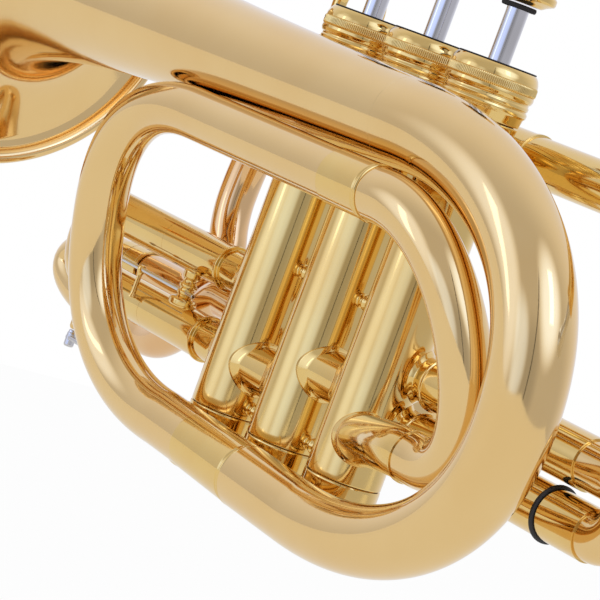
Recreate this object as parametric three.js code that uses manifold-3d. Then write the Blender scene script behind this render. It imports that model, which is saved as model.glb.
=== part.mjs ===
// Pocket trumpet in millimetres, +Z up along the valves, the bell facing -X and the player's left at -Y.
// The origin lies on the second valve's axis, halfway up the valve block.

import * as THREE from 'three';
import { mergeVertices } from 'three/addons/utils/BufferGeometryUtils.js';
import Module from 'manifold-3d';

const wasm = await Module();
wasm.setup();

// Fits and facets shared by every piece
const seatGap = 0.3;
const tubeWall = 0.6;
const cutOverrun = 2;
const tubeSides = 12;
const boreSides = 6;
const turnSteps = 11;
const castSides = 16;
const bellSides = 32;
const smallSides = 12;
const fullTurn = Math.PI * 2;

// Valve block
const valveSpacing = 27;
const blockHalfHeight = 62;
const casingRadius = 9.6;
const casingWall = 0.9;
const capRadius = 11.25;
const topCapHeight = 13.5;
const bottomCapHeight = 17;
const capRoof = 2.4;
const threadDepth = 0.7;
const pistonLength = 58;
const pistonWall = 0.9;
const valveStroke = 13;
const stemRadius = 2.75;

// Button on top of each stem
const buttonRadius = 8.2;
const buttonFootRadius = 5.6;
const buttonHeight = 3.8;
const buttonRim = 1.6;
const pearlHeight = 1.5;
const feltRadius = 4.4;
const feltHeight = 1.2;

// Bell, its axis level and parallel to the slides
const bellRimX = -159.5;
const bellAxisY = -27.85;
const bellAxisDrop = 20.6;
const bellAxisZ = blockHalfHeight - bellAxisDrop;
const bellRimRadius = 57.75;
const bellWall = 0.7;
const beadRadius = 1.9;
const flareLead = 3;
const flarePowerShare = 0.4;

// Coil between the first valve and the bell
const coilTubeRadius = 6.5;
const innerFootRadius = 6.05;
const topRunSide = 9.6;
const topRunY = bellAxisY - topRunSide;
const topRunGap = 0.4;
const bottomRunY = -19.6;
const bottomRunLift = 11.35;
const bottomRunZ = -blockHalfHeight + bottomRunLift;
const bottomRunDrop = 2.85;
const jointStub = 3;
const frontTurnX = -29;
const frontTurnReach = 43;
const frontTurnSkew = 4.9;
const frontTurnShapeShare = 2.36;
const coilFrontFootRadius = 7.35;
const topFerruleFrontX = 33.6;
const topFerruleRearX = 49.6;
const bottomFerruleFrontX = -8;
const bottomFerruleRearX = 16.3;
const ferruleLift = 0.45;
const rearTurnX = 40.7;
const rearTurnReach = 63.7;
const rearTurnShapeShare = 2.19;
const bowFootRadius = 7.85;
const bowShoulderRadius = 8.05;
const innerTurnTopX = 52.6;
const innerTurnFootX = 71.3;
const innerTopHandle = 35.9;
const innerFootHandle = 28.5;
const elbowEndY = -16.8;
const elbowEndLift = 33.2;
const elbowEndZ = -blockHalfHeight + elbowEndLift;
const elbowRadius = 6.1;
const elbowRootY = -1.4;
const elbowRootDrop = 5.6;
const elbowRootZ = elbowEndZ - elbowRootDrop;
const elbowKneeX = 60;

// Mouthpipe along the right side, and the bow that leads it down to the tuning slide
const pipeY = 18.5;
const pipeDrop = 19.1;
const pipeZ = blockHalfHeight - pipeDrop;
const pipeRadius = 5.4;
const pipeJointX = 31;
const pipeRearRadius = 6;
const pipeRearX = 88;
const pipeFrontX = -58;
const pipeBowRadius = 5.25;
const pipeBowX = -81.8;
const pipeBowLevel = 4;
const pipeBowHandleShare = 0.55;
const pipeLean = Math.PI * 0.15;
const pipeLeanRadius = 26;
const receiverLength = 34;
const receiverRadius = 7.6;
const receiverFlangeLength = 5;
const receiverBore = 5.6;

// Mouthpiece
const shankLength = 26;
const shankTipRadius = 4.6;
const shankRadius = 5.2;
const mouthpieceLength = 84;
const cupBodyRadius = 9.5;
const mouthRimRadius = 13.6;
const cupRadius = 8.4;
const cupDepth = 11;
const throatRadius = 1.9;
const backboreRadius = 3.8;

// Sliding tubes of the four slides
const slideTravel = 10;

// First valve slide, drawn to the rear by the thumb
const firstSlide = {
  side: 6.8,
  lift: 40.1,
  spacing: 14,
  radius: 6.35,
  stub: 5.1,
  mouth: 65.7,
  upperShift: 8,
  insert: 32,
  ferrule: 13.7,
  bowStart: 14.6,
  bowReach: 6.9,
  bowRadius: 5.9,
};
const bumperThickness = 1.2;
const bumperLift = 0.7;

// Second valve slide, drawn out to the right
const secondSlide = {
  side: 0,
  lift: 44,
  spacing: 19.5,
  radius: 5.8,
  stub: 4.6,
  mouth: 24,
  upperShift: 0,
  insert: 9,
  ferrule: 6,
  bowStart: 8,
  bowReach: 9.75,
  bowRadius: 5.5,
};
const knobRadius = 3.6;
const knobLength = 6;

// Third valve slide, pushed forward
const thirdSlide = {
  side: 0,
  lift: 40.45,
  spacing: 19.5,
  radius: 5.8,
  stub: 8.9,
  mouth: 46,
  upperShift: 0,
  insert: 26,
  ferrule: 35.4,
  bowStart: 36,
  bowReach: 8,
  bowRadius: 5.5,
};

// Tuning slide on the right side
const tuningSlide = {
  lift: 27.7,
  spacing: 16.6,
  radius: 5.5,
  mouthX: -117,
  sleeve: 8.5,
  upperShift: 0,
  insert: 7.5,
  ferrule: 4.5,
  bowStart: 5.2,
  bowReach: 28.2,
  bowRadius: 5.2,
};

// Tube from the tuning slide into the third valve
const inletRadius = 5.2;
const inletY = 8;
const inletClearY = 11.4;
const inletBendX = -99;
const inletLowHandleX = -83;
const inletLowHandleY = 17;
const inletHighHandleX = -69;
const inletLevelX = -60;

const materials = {
  brass: { color: 0xd2a548, roughness: 0.16, metalness: 1 },
  goldBrass: { color: 0xd7a777, roughness: 0.16, metalness: 1 },
  nickel: { color: 0xc9cad2, roughness: 0.2, metalness: 1 },
  pearl: { color: 0xf2efe6, roughness: 0.25, metalness: 0 },
  felt: { color: 0x17161a, roughness: 0.95, metalness: 0 },
  rubber: { color: 0x1d1a19, roughness: 0.7, metalness: 0 },
};

const trumpet = new THREE.Group();

function finish(name) {
  return new THREE.MeshStandardMaterial(materials[name]);
}

function addMesh(parent, name, geometry, material) {
  const mesh = new THREE.Mesh(geometry, finish(material));
  mesh.name = name;
  parent.add(mesh);
  return mesh;
}

// Solids, joins and cuts

function bare(geometry) {
  const copy = geometry.clone();
  copy.deleteAttribute('normal');
  copy.deleteAttribute('uv');
  return mergeVertices(copy);
}

function signedVolume(geometry) {
  const place = geometry.attributes.position;
  const index = geometry.index;
  const a = new THREE.Vector3();
  const b = new THREE.Vector3();
  const c = new THREE.Vector3();
  let sum = 0;
  for (let i = 0; i < index.count; i += 3) {
    a.fromBufferAttribute(place, index.getX(i));
    b.fromBufferAttribute(place, index.getX(i + 1));
    c.fromBufferAttribute(place, index.getX(i + 2));
    sum += a.dot(b.cross(c));
  }
  return sum / 6;
}

function outward(geometry) {
  const solid = bare(geometry);
  const kept = [];
  const index = solid.index;
  for (let i = 0; i < index.count; i += 3) {
    const corner = [index.getX(i), index.getX(i + 1), index.getX(i + 2)];
    const flat = corner[0] === corner[1] || corner[1] === corner[2] || corner[2] === corner[0];
    if (!flat) kept.push(...corner);
  }
  solid.setIndex(kept);
  if (signedVolume(solid) < 0) {
    for (let i = 0; i < kept.length; i += 3) {
      [kept[i], kept[i + 1]] = [kept[i + 1], kept[i]];
    }
    solid.setIndex(kept);
  }
  return solid;
}

function toManifold(geometry) {
  const solid = outward(geometry);
  const vertProperties = new Float32Array(solid.attributes.position.array);
  const triVerts = new Uint32Array(solid.index.array);
  return new wasm.Manifold(new wasm.Mesh({ numProp: 3, vertProperties, triVerts }));
}

function fromManifold(solid) {
  const mesh = solid.getMesh();
  const geometry = new THREE.BufferGeometry();
  geometry.setAttribute('position', new THREE.BufferAttribute(new Float32Array(mesh.vertProperties), 3));
  geometry.setIndex([...mesh.triVerts]);
  return geometry;
}

function cut(geometry, ...tools) {
  let solid = toManifold(geometry);
  for (const tool of tools) solid = solid.subtract(toManifold(tool));
  return fromManifold(solid);
}

function join(geometry, ...others) {
  let solid = toManifold(geometry);
  for (const other of others) solid = solid.add(toManifold(other));
  return fromManifold(solid);
}

// A turned piece about Z, from [radius, height] points
function turned(points, sides) {
  const profile = points.map(([radius, height]) => new THREE.Vector2(radius, height));
  const geometry = new THREE.LatheGeometry(profile, sides);
  geometry.rotateX(Math.PI / 2);
  return outward(geometry);
}

// A turned piece about X, from [radius, x] points
function turnedAlongX(points, sides) {
  const geometry = turned(points, sides);
  geometry.rotateY(Math.PI / 2);
  return geometry;
}

// A turned piece about Y, from [radius, y] points
function turnedAlongY(points, sides) {
  const geometry = turned(points, sides);
  geometry.rotateX(-Math.PI / 2);
  return geometry;
}

// Carried tubes

// A curve through stations that keeps one step for each station
class StationCurve extends THREE.Curve {
  constructor(stations) {
    super();
    this.stations = stations;
  }

  getPoint(share, target = new THREE.Vector3()) {
    const last = this.stations.length - 1;
    const place = share * last;
    const i = Math.min(Math.floor(place), last - 1);
    return target.lerpVectors(this.stations[i], this.stations[i + 1], place - i);
  }

  getPointAt(share, target) {
    return this.getPoint(share, target);
  }

  getTangentAt(share, target = new THREE.Vector3()) {
    const last = this.stations.length - 1;
    const i = Math.round(share * last);
    const here = this.stations[i];
    const back = this.stations[Math.max(i - 1, 0)];
    const ahead = this.stations[Math.min(i + 1, last)];
    const into = here.clone().sub(back).normalize();
    const onward = ahead.clone().sub(here).normalize();
    return target.copy(into).add(onward).normalize();
  }
}

function circlePath(radius, sides, Kind) {
  const ring = new Kind();
  for (let i = 0; i < sides; i += 1) {
    const angle = (fullTurn * i) / sides;
    const x = radius * Math.cos(angle);
    const y = radius * Math.sin(angle);
    if (i === 0) ring.moveTo(x, y);
    else ring.lineTo(x, y);
  }
  ring.closePath();
  return ring;
}

// A tube whose outer and inner radius are given at every station; an inner radius of 0 leaves it solid
function carriedTube(stations, outerAt, innerAt, sides = tubeSides) {
  const unitShape = circlePath(1, sides, THREE.Shape);
  const hollow = innerAt(0) > 0;
  const holeShare = 0.5;
  if (hollow) unitShape.holes.push(circlePath(holeShare, boreSides, THREE.Path));
  const extrudePath = new StationCurve(stations);
  const steps = stations.length - 1;
  const geometry = bare(new THREE.ExtrudeGeometry(unitShape, { steps, extrudePath, bevelEnabled: false }));
  const place = geometry.attributes.position;
  const point = new THREE.Vector3();
  for (let i = 0; i < place.count; i += 1) {
    point.fromBufferAttribute(place, i);
    let nearest = 0;
    for (let s = 1; s <= steps; s += 1) {
      if (point.distanceToSquared(stations[s]) < point.distanceToSquared(stations[nearest])) nearest = s;
    }
    const offset = point.clone().sub(stations[nearest]);
    const isOuter = offset.length() > (1 + holeShare) / 2;
    const radius = isOuter ? outerAt(nearest) : innerAt(nearest);
    point.copy(stations[nearest]).addScaledVector(offset.normalize(), radius);
    place.setXYZ(i, point.x, point.y, point.z);
  }
  return outward(geometry);
}

function evenTube(stations, radius, wall = tubeWall, sides = tubeSides) {
  return carriedTube(stations, () => radius, () => radius - wall, sides);
}

// Half a turn from one run to another, bulging along X; the shape value rounds or squares it
function halfTurn(from, to, reach, shapeShare, steps) {
  const stations = [];
  for (let i = 0; i <= steps; i += 1) {
    const angle = (Math.PI * i) / steps;
    const cos = Math.cos(angle);
    const across = Math.sign(cos) * Math.abs(cos) ** (2 / shapeShare);
    const bulge = Math.abs(Math.sin(angle)) ** (2 / shapeShare);
    const blend = Math.sin(angle / 2) ** 2;
    stations.push(
      new THREE.Vector3(
        from.x + (to.x - from.x) * blend + reach * bulge,
        (from.y + to.y) / 2 + ((from.y - to.y) / 2) * across,
        (from.z + to.z) / 2 + ((from.z - to.z) / 2) * across,
      ),
    );
  }
  return stations;
}

function point(x, y, z) {
  return new THREE.Vector3(x, y, z);
}

// Valve casings, caps, pistons and buttons

const casingBore = casingRadius - casingWall;
const pistonRadius = casingBore - seatGap;
const neckRadius = casingRadius - threadDepth;
const capBore = neckRadius + seatGap;
const capNeck = casingRadius + threadDepth;
const topCapFoot = blockHalfHeight - topCapHeight;
const bottomCapTop = -blockHalfHeight + bottomCapHeight;
const collarRadius = (casingRadius + capRadius) / 2;
const collarHeight = topCapHeight * 0.2;
const stemHoleRadius = stemRadius + seatGap;
const restFeltZ = blockHalfHeight + valveStroke + seatGap;
const buttonFootZ = restFeltZ + feltHeight + seatGap;

function casing() {
  const top = blockHalfHeight - capRoof - seatGap;
  const bottom = -blockHalfHeight + capRoof + seatGap;
  return turned(
    [
      [casingBore, bottom],
      [neckRadius, bottom],
      [neckRadius, bottomCapTop + seatGap],
      [casingRadius, bottomCapTop + seatGap],
      [casingRadius, topCapFoot - collarHeight],
      [collarRadius, topCapFoot - collarHeight * 0.8],
      [collarRadius, topCapFoot - seatGap],
      [neckRadius, topCapFoot - seatGap],
      [neckRadius, top],
      [casingBore, top],
      [casingBore, bottom],
    ],
    castSides,
  );
}

function topCap() {
  const crown = capRoof * 0.5;
  return turned(
    [
      [stemHoleRadius, blockHalfHeight - capRoof],
      [stemHoleRadius, blockHalfHeight],
      [capRadius - crown, blockHalfHeight],
      [capRadius, blockHalfHeight - crown],
      [capRadius, topCapFoot + topCapHeight * 0.2],
      [collarRadius + threadDepth / 2, topCapFoot],
      [capBore, topCapFoot],
      [capBore, blockHalfHeight - capRoof],
      [stemHoleRadius, blockHalfHeight - capRoof],
    ],
    castSides,
  );
}

const ventRadius = stemRadius * 0.6;

function bottomCap() {
  const chamfer = capRoof * 0.7;
  return turned(
    [
      [ventRadius, -blockHalfHeight + capRoof],
      [ventRadius, -blockHalfHeight],
      [capRadius - chamfer, -blockHalfHeight],
      [capRadius, -blockHalfHeight + chamfer],
      [capRadius, bottomCapTop - bottomCapHeight * 0.55],
      [capNeck, bottomCapTop - bottomCapHeight * 0.48],
      [capNeck, bottomCapTop],
      [capBore, bottomCapTop],
      [capBore, -blockHalfHeight + capRoof],
      [ventRadius, -blockHalfHeight + capRoof],
    ],
    castSides,
  );
}

function piston() {
  const top = pistonLength / 2;
  return turned(
    [
      [0, top - capRoof],
      [pistonRadius - pistonWall, top - capRoof],
      [pistonRadius - pistonWall, -top],
      [pistonRadius, -top],
      [pistonRadius, top],
      [stemRadius, top + stemRadius],
      [stemRadius, buttonFootZ - seatGap],
      [0, buttonFootZ - seatGap],
    ],
    castSides,
  );
}

function button() {
  const seat = buttonFootZ + buttonHeight - pearlHeight * 0.6;
  const pocket = buttonRadius - buttonRim;
  return turned(
    [
      [0, buttonFootZ],
      [buttonFootRadius, buttonFootZ],
      [buttonRadius, buttonFootZ + buttonHeight * 0.4],
      [buttonRadius, buttonFootZ + buttonHeight * 0.8],
      [buttonRadius - buttonRim * 0.5, buttonFootZ + buttonHeight],
      [pocket, buttonFootZ + buttonHeight],
      [pocket, seat],
      [0, seat],
    ],
    castSides,
  );
}

function pearl() {
  const foot = buttonFootZ + buttonHeight - pearlHeight * 0.6 + seatGap;
  const radius = buttonRadius - buttonRim - seatGap;
  return turned(
    [
      [0, foot],
      [radius, foot],
      [radius, foot + pearlHeight * 0.5],
      [radius * 0.6, foot + pearlHeight * 0.9],
      [0, foot + pearlHeight],
    ],
    castSides,
  );
}

function felt() {
  return turned(
    [
      [stemHoleRadius, restFeltZ],
      [feltRadius, restFeltZ],
      [feltRadius, restFeltZ + feltHeight],
      [stemHoleRadius, restFeltZ + feltHeight],
      [stemHoleRadius, restFeltZ],
    ],
    castSides,
  );
}

function valveX(number) {
  return (2 - number) * valveSpacing;
}

// The middle height of a slide, measured up from the foot of the valve block
function slideZ(slide) {
  return slide.lift - blockHalfHeight;
}

for (let number = 1; number <= 3; number += 1) {
  const valve = new THREE.Group();
  valve.position.x = valveX(number);
  trumpet.add(valve);
  addMesh(valve, `valve_casing_${number}`, casing(), 'brass');
  addMesh(valve, `top_cap_${number}`, topCap(), 'brass');
  addMesh(valve, `bottom_cap_${number}`, bottomCap(), 'brass');
  addMesh(valve, `piston_${number}`, piston(), 'nickel');
  addMesh(valve, `finger_button_${number}`, button(), 'brass');
  addMesh(valve, `button_pearl_${number}`, pearl(), 'pearl');
  addMesh(valve, `button_felt_${number}`, felt(), 'felt');
}

// A plain post the size of a casing plus its gap, standing at a valve's axis, for trimming tubes
function casingTrim(x, y) {
  const reach = blockHalfHeight + cutOverrun;
  const radius = casingRadius + seatGap;
  const post = turned([[0, -reach], [radius, -reach], [radius, reach], [0, reach]], castSides);
  post.translate(x, y, 0);
  return post;
}

// Knuckles that carry air between the valves, and the small braces beside them

const knuckleRadius = 6.2;
const knuckleY = -1;
const knuckleLifts = [
  [1, 38.1],
  [2, 30.8],
];
const braceLifts = [
  ['upper', 58],
  ['lower', 20.5],
];
const braceBallRadius = 2.2;
const braceNeckRadius = 1.1;
const braceFlangeRadius = 1.9;

for (const [number, lift] of knuckleLifts) {
  const half = valveSpacing / 2;
  const mid = (valveX(number) + valveX(number + 1)) / 2;
  const bore = knuckleRadius - tubeWall;
  const raw = turnedAlongX(
    [[bore, -half], [knuckleRadius, -half], [knuckleRadius, half], [bore, half], [bore, -half]],
    tubeSides,
  );
  raw.translate(0, knuckleY, 0);
  const trimmed = cut(raw, casingTrim(-half, 0), casingTrim(half, 0));
  const mesh = addMesh(trumpet, `knuckle_${number}_${number + 1}`, trimmed, 'brass');
  mesh.position.set(mid, 0, lift - blockHalfHeight);

  for (const [level, height] of braceLifts) {
    const reach = half - casingRadius - seatGap;
    const flange = reach * 0.25;
    const spindle = turnedAlongX(
      [
        [0, -reach],
        [braceFlangeRadius, -reach],
        [braceFlangeRadius, -reach + flange],
        [braceNeckRadius, -reach + flange],
        [braceBallRadius, -flange],
        [braceBallRadius, flange],
        [braceNeckRadius, reach - flange],
        [braceFlangeRadius, reach - flange],
        [braceFlangeRadius, reach],
        [0, reach],
      ],
      smallSides,
    );
    const brace = addMesh(trumpet, `casing_brace_${level}_${number}_${number + 1}`, spindle, 'brass');
    brace.position.set(mid, 0, height - blockHalfHeight);
  }
}

// Valve slides: two fixed sleeves on the casing, and a U-shaped slide that draws out of them

function sleeveRun(slide, level, mouth) {
  const bore = slide.radius - tubeWall;
  const bead = slide.radius + ferruleLift;
  const root = casingRadius + slide.stub;
  const raw = turnedAlongX(
    [
      [bore, -mouth],
      [slide.radius, -mouth],
      [slide.radius, root - mouth],
      [bead, root + seatGap - mouth],
      [bead, root + ferruleLift * 3 - mouth],
      [slide.radius, root + ferruleLift * 3.5 - mouth],
      [slide.radius, 0],
      [bore, 0],
      [bore, -mouth],
    ],
    tubeSides,
  );
  raw.translate(0, 0, level);
  return raw;
}

function slideBow(slide) {
  const half = slide.spacing / 2;
  const legRadius = slide.radius - tubeWall - seatGap;
  const stations = [];
  const radii = [];
  function station(x, z, radius) {
    stations.push(point(x, 0, z));
    radii.push(radius);
  }
  const upperMouth = -slide.upperShift;
  const step = seatGap;
  station(upperMouth - slide.insert, half, legRadius);
  station(upperMouth + step, half, legRadius);
  station(upperMouth + step * 2, half, slide.radius);
  station(upperMouth + slide.ferrule, half, slide.radius);
  station(upperMouth + slide.ferrule + step, half, slide.bowRadius);
  for (let i = 0; i <= turnSteps; i += 1) {
    const angle = (Math.PI * i) / turnSteps;
    station(slide.bowStart + slide.bowReach * Math.sin(angle), half * Math.cos(angle), slide.bowRadius);
  }
  station(slide.ferrule + step, -half, slide.bowRadius);
  station(slide.ferrule, -half, slide.radius);
  station(step * 2, -half, slide.radius);
  station(step, -half, legRadius);
  station(-slide.insert, -half, legRadius);
  const bore = Math.min(legRadius, slide.bowRadius) - tubeWall;
  return carriedTube(stations, (i) => radii[i], () => bore);
}

function valveSlideGroup(slide, number, turn) {
  const group = new THREE.Group();
  const axis = new THREE.Vector3(Math.cos(turn), Math.sin(turn), 0);
  const across = new THREE.Vector3(-Math.sin(turn), Math.cos(turn), 0);
  group.position.set(valveX(number), 0, slideZ(slide));
  group.position.addScaledVector(axis, slide.mouth).addScaledVector(across, slide.side);
  group.rotation.z = turn;
  trumpet.add(group);
  return group;
}

function addSleeves(group, slide, prefix) {
  const half = slide.spacing / 2;
  const trim = casingTrim(-slide.mouth, -slide.side);
  const lower = cut(sleeveRun(slide, -half, slide.mouth), trim);
  const upper = sleeveRun(slide, half, slide.mouth - slide.upperShift);
  upper.translate(-slide.upperShift, 0, 0);
  addMesh(group, `${prefix}_sleeve_upper`, cut(upper, trim), 'brass');
  addMesh(group, `${prefix}_sleeve_lower`, lower, 'brass');
}

// First valve slide with its bumper ring
const firstGroup = valveSlideGroup(firstSlide, 1, 0);
addSleeves(firstGroup, firstSlide, 'first');

function bumperRing() {
  const bore = firstSlide.radius - tubeWall;
  const outer = firstSlide.radius + bumperLift;
  const half = bumperThickness / 2;
  return turnedAlongX(
    [
      [bore, -half],
      [firstSlide.radius, -half],
      [outer, -half * 0.4],
      [outer, half * 0.4],
      [firstSlide.radius, half],
      [bore, half],
      [bore, -half],
    ],
    tubeSides,
  );
}

const bumperSeat = bumperThickness + seatGap;
addMesh(firstGroup, 'first_slide', slideBow(firstSlide), 'goldBrass').position.x = bumperSeat;
const bumper = addMesh(firstGroup, 'first_bumper', bumperRing(), 'rubber');
bumper.position.set(bumperSeat / 2 + seatGap / 2, 0, -firstSlide.spacing / 2);

// Second valve slide with its pull knob
const secondGroup = valveSlideGroup(secondSlide, 2, Math.PI / 2);
addSleeves(secondGroup, secondSlide, 'second');
const knobRoot = secondSlide.bowStart + secondSlide.bowReach + secondSlide.bowRadius;
const knob = turnedAlongX(
  [
    [0, knobRoot - secondSlide.bowRadius * 0.4],
    [knobRadius * 0.5, knobRoot - secondSlide.bowRadius * 0.4],
    [knobRadius * 0.5, knobRoot + knobLength * 0.4],
    [knobRadius, knobRoot + knobLength * 0.6],
    [knobRadius, knobRoot + knobLength * 0.9],
    [knobRadius * 0.5, knobRoot + knobLength],
    [0, knobRoot + knobLength],
  ],
  smallSides,
);
addMesh(secondGroup, 'second_slide', join(slideBow(secondSlide), knob), 'goldBrass');

// Third valve slide with its stop rod and the bracket that guides the rod
const thirdGroup = valveSlideGroup(thirdSlide, 3, Math.PI);
addSleeves(thirdGroup, thirdSlide, 'third');

const rodRadius = 1;
const rodSide = 7;
const rodLift = -0.4;
const bracketInset = 19.2;
const bracketSide = 5.9;
const bracketRadius = 3.8;
const bracketReach = 5.1;
const bracketLift = 0.7;
const bracketNeck = 2;
const guideInset = 2.6;
const guideRadius = 1.9;
const rodNutLength = 2;
const rodNutRadius = 1.7;
const rodTail = 1.5;

// A post between the two sleeves, from [radius share, height share] points
const bracketShares = [
  [1, 1],
  [1, 0.7],
  [0.6, 0.55],
  [0.8, 0.4],
  [0.8, 0.1],
  [0.6, 0],
  [0.8, -0.1],
  [0.8, -0.4],
  [0.6, -0.55],
  [1, -0.7],
  [1, -1],
];

function bracketPost() {
  const reach = bracketReach;
  const points = bracketShares.map(([wide, high]) => [bracketRadius * wide, -reach * high]);
  const post = turned([[0, -reach], ...points, [0, reach]], smallSides);
  post.translate(-bracketInset, bracketSide, bracketLift);
  return post;
}

function sleeveTrims() {
  const reach = thirdSlide.mouth;
  const radius = thirdSlide.radius + seatGap;
  return [1, -1].map((sign) => {
    const bar = turnedAlongX([[0, -reach], [radius, -reach], [radius, reach], [0, reach]], tubeSides);
    bar.translate(0, 0, (sign * thirdSlide.spacing) / 2);
    return bar;
  });
}

function rodBore(x, halfLength) {
  const radius = rodRadius + seatGap;
  const reach = halfLength + cutOverrun;
  const bore = turnedAlongX([[0, -reach], [radius, -reach], [radius, reach], [0, reach]], smallSides);
  bore.translate(x, rodSide, rodLift);
  return bore;
}

const bracket = cut(bracketPost(), rodBore(-bracketInset, bracketRadius), ...sleeveTrims());
addMesh(thirdGroup, 'stop_bracket', bracket, 'brass');

const rodRearX = -bracketInset - bracketRadius - rodTail;
const rodCollarX = -bracketInset + bracketRadius + seatGap;
const rodStopX = guideInset + guideRadius + slideTravel + seatGap;
const stopRod = turnedAlongX(
  [
    [0, rodRearX],
    [rodRadius, rodRearX],
    [rodRadius, rodCollarX],
    [rodNutRadius, rodCollarX],
    [rodNutRadius, rodCollarX + rodNutLength],
    [rodRadius, rodCollarX + rodNutLength],
    [rodRadius, rodStopX],
    [rodNutRadius, rodStopX],
    [rodNutRadius, rodStopX + rodNutLength],
    [0, rodStopX + rodNutLength],
  ],
  smallSides,
);
addMesh(thirdGroup, 'stop_rod', stopRod, 'nickel').position.set(0, rodSide, rodLift);

// A short post between the moving legs, with an eye for the rod to pass through
function rodGuide() {
  const reach = thirdSlide.spacing / 2 - thirdSlide.radius * 0.25;
  const post = turned([[0, -reach], [guideRadius, -reach], [guideRadius, reach], [0, reach]], smallSides);
  post.translate(guideInset, rodSide, 0);
  return post;
}

const thirdMoving = cut(join(slideBow(thirdSlide), rodGuide()), rodBore(guideInset, guideRadius));
addMesh(thirdGroup, 'third_slide', thirdMoving, 'goldBrass');

// Coil: elbow, inner rear bow, top run and front bow, then the bell bow round the outside

const topRunReach = flareRadius(frontTurnX - bellRimX) + coilTubeRadius + topRunGap;
const topRunZ = bellAxisZ - Math.sqrt(topRunReach ** 2 - topRunSide ** 2);
const topRun = (x) => point(x, topRunY, topRunZ);
const bottomStartX = frontTurnX + frontTurnSkew;
const bottomSlope = bottomRunDrop / (rearTurnX - bottomStartX);
const bottomRun = (x) => point(x, bottomRunY, bottomRunZ - bottomSlope * (x - bottomStartX));
const bellRun = (x) => point(x, bellAxisY, bellAxisZ);

function flareRadius(distance) {
  return bellRimRadius * ((distance + flareLead) / flareLead) ** -flarePowerShare;
}

const bellFootX = rearTurnX - jointStub - seatGap;
const bellFootRadius = flareRadius(bellFootX - bellRimX);

const innerStartX = innerTurnFootX - jointStub;

function elbowStations() {
  const curve = new THREE.QuadraticBezierCurve3(
    point(valveX(1), elbowRootY, elbowRootZ),
    point(elbowKneeX, elbowEndY, elbowEndZ),
    point(innerStartX - jointStub, elbowEndY, elbowEndZ),
  );
  return [...curve.getSpacedPoints(turnSteps), point(innerStartX - seatGap, elbowEndY, elbowEndZ)];
}

const elbowTube = evenTube(elbowStations(), elbowRadius);
addMesh(trumpet, 'elbow', cut(elbowTube, casingTrim(valveX(1), 0)), 'brass');

const innerCurve = new THREE.CubicBezierCurve3(
  point(innerTurnFootX, elbowEndY, elbowEndZ),
  point(innerTurnFootX + innerFootHandle, elbowEndY, elbowEndZ),
  topRun(innerTurnTopX + innerTopHandle),
  topRun(innerTurnTopX),
);
const innerTurn = innerCurve.getSpacedPoints(turnSteps + 1);
innerTurn.unshift(point(innerStartX, elbowEndY, elbowEndZ));
innerTurn.push(topRun(topFerruleRearX + seatGap));
const innerOuter = growing(innerFootRadius, coilTubeRadius, 1, innerTurn.length - 2);
const innerBow = carriedTube(innerTurn, innerOuter, (i) => innerOuter(i) - tubeWall);
addMesh(trumpet, 'inner_rear_bow', innerBow, 'goldBrass');

const frontTurn = halfTurn(
  topRun(frontTurnX),
  bottomRun(bottomStartX),
  -frontTurnReach,
  frontTurnShapeShare,
  turnSteps + 3,
);
const frontStations = [
  topRun(topFerruleFrontX - seatGap),
  ...frontTurn,
  bottomRun(bottomFerruleFrontX - seatGap),
];

function growing(from, to, firstTurnStation, lastTurnStation) {
  return (i) => {
    const share = THREE.MathUtils.clamp((i - firstTurnStation) / (lastTurnStation - firstTurnStation), 0, 1);
    return from + (to - from) * share;
  };
}

const frontOuter = growing(coilTubeRadius, coilFrontFootRadius, 1, frontStations.length - 2);
const frontBow = carriedTube(frontStations, frontOuter, (i) => frontOuter(i) - tubeWall);
addMesh(trumpet, 'front_bow', frontBow, 'goldBrass');

const bowTurn = halfTurn(
  bottomRun(rearTurnX),
  bellRun(rearTurnX),
  rearTurnReach,
  rearTurnShapeShare,
  turnSteps + 4,
);
const bowStations = [
  bottomRun(bottomFerruleRearX + seatGap),
  ...bowTurn,
  bellRun(rearTurnX - jointStub),
];
const bowOuter = (i) => {
  if (i === 0) return bowFootRadius;
  const share = Math.min((i - 1) / (bowTurn.length - 1), 1);
  return bowShoulderRadius + (bellFootRadius - bowShoulderRadius) * share;
};
addMesh(trumpet, 'bell_bow', carriedTube(bowStations, bowOuter, (i) => bowOuter(i) - tubeWall), 'goldBrass');

function ferrule(frontX, rearX, frontRadius, rearRadius) {
  const bead = ferruleLift * 2;
  const front = frontRadius + ferruleLift * 0.4;
  const rear = rearRadius + ferruleLift;
  const bore = Math.min(frontRadius, rearRadius) - tubeWall;
  return turnedAlongX(
    [
      [bore, frontX],
      [front, frontX],
      [rear - ferruleLift * 0.3, rearX - bead],
      [rear, rearX - bead],
      [rear, rearX],
      [bore, rearX],
      [bore, frontX],
    ],
    tubeSides,
  );
}

const topFerrule = ferrule(topFerruleFrontX, topFerruleRearX, coilTubeRadius, coilTubeRadius);
addMesh(trumpet, 'top_ferrule', topFerrule, 'brass').position.set(0, topRunY, topRunZ);

const bottomFerrule = ferrule(
  0,
  (bottomFerruleRearX - bottomFerruleFrontX) / Math.cos(Math.atan(bottomSlope)),
  coilFrontFootRadius,
  bowFootRadius - ferruleLift / 2,
);
const bottomFerruleMesh = addMesh(trumpet, 'bottom_ferrule', bottomFerrule, 'brass');
bottomFerruleMesh.position.copy(bottomRun(bottomFerruleFrontX));
bottomFerruleMesh.rotation.y = Math.atan(bottomSlope);

// Bell: the throat, the flare and the rolled bead at the rim

const flareShares = [0.012, 0.03, 0.06, 0.11, 0.18, 0.29, 0.44, 0.66, 1];

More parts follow.
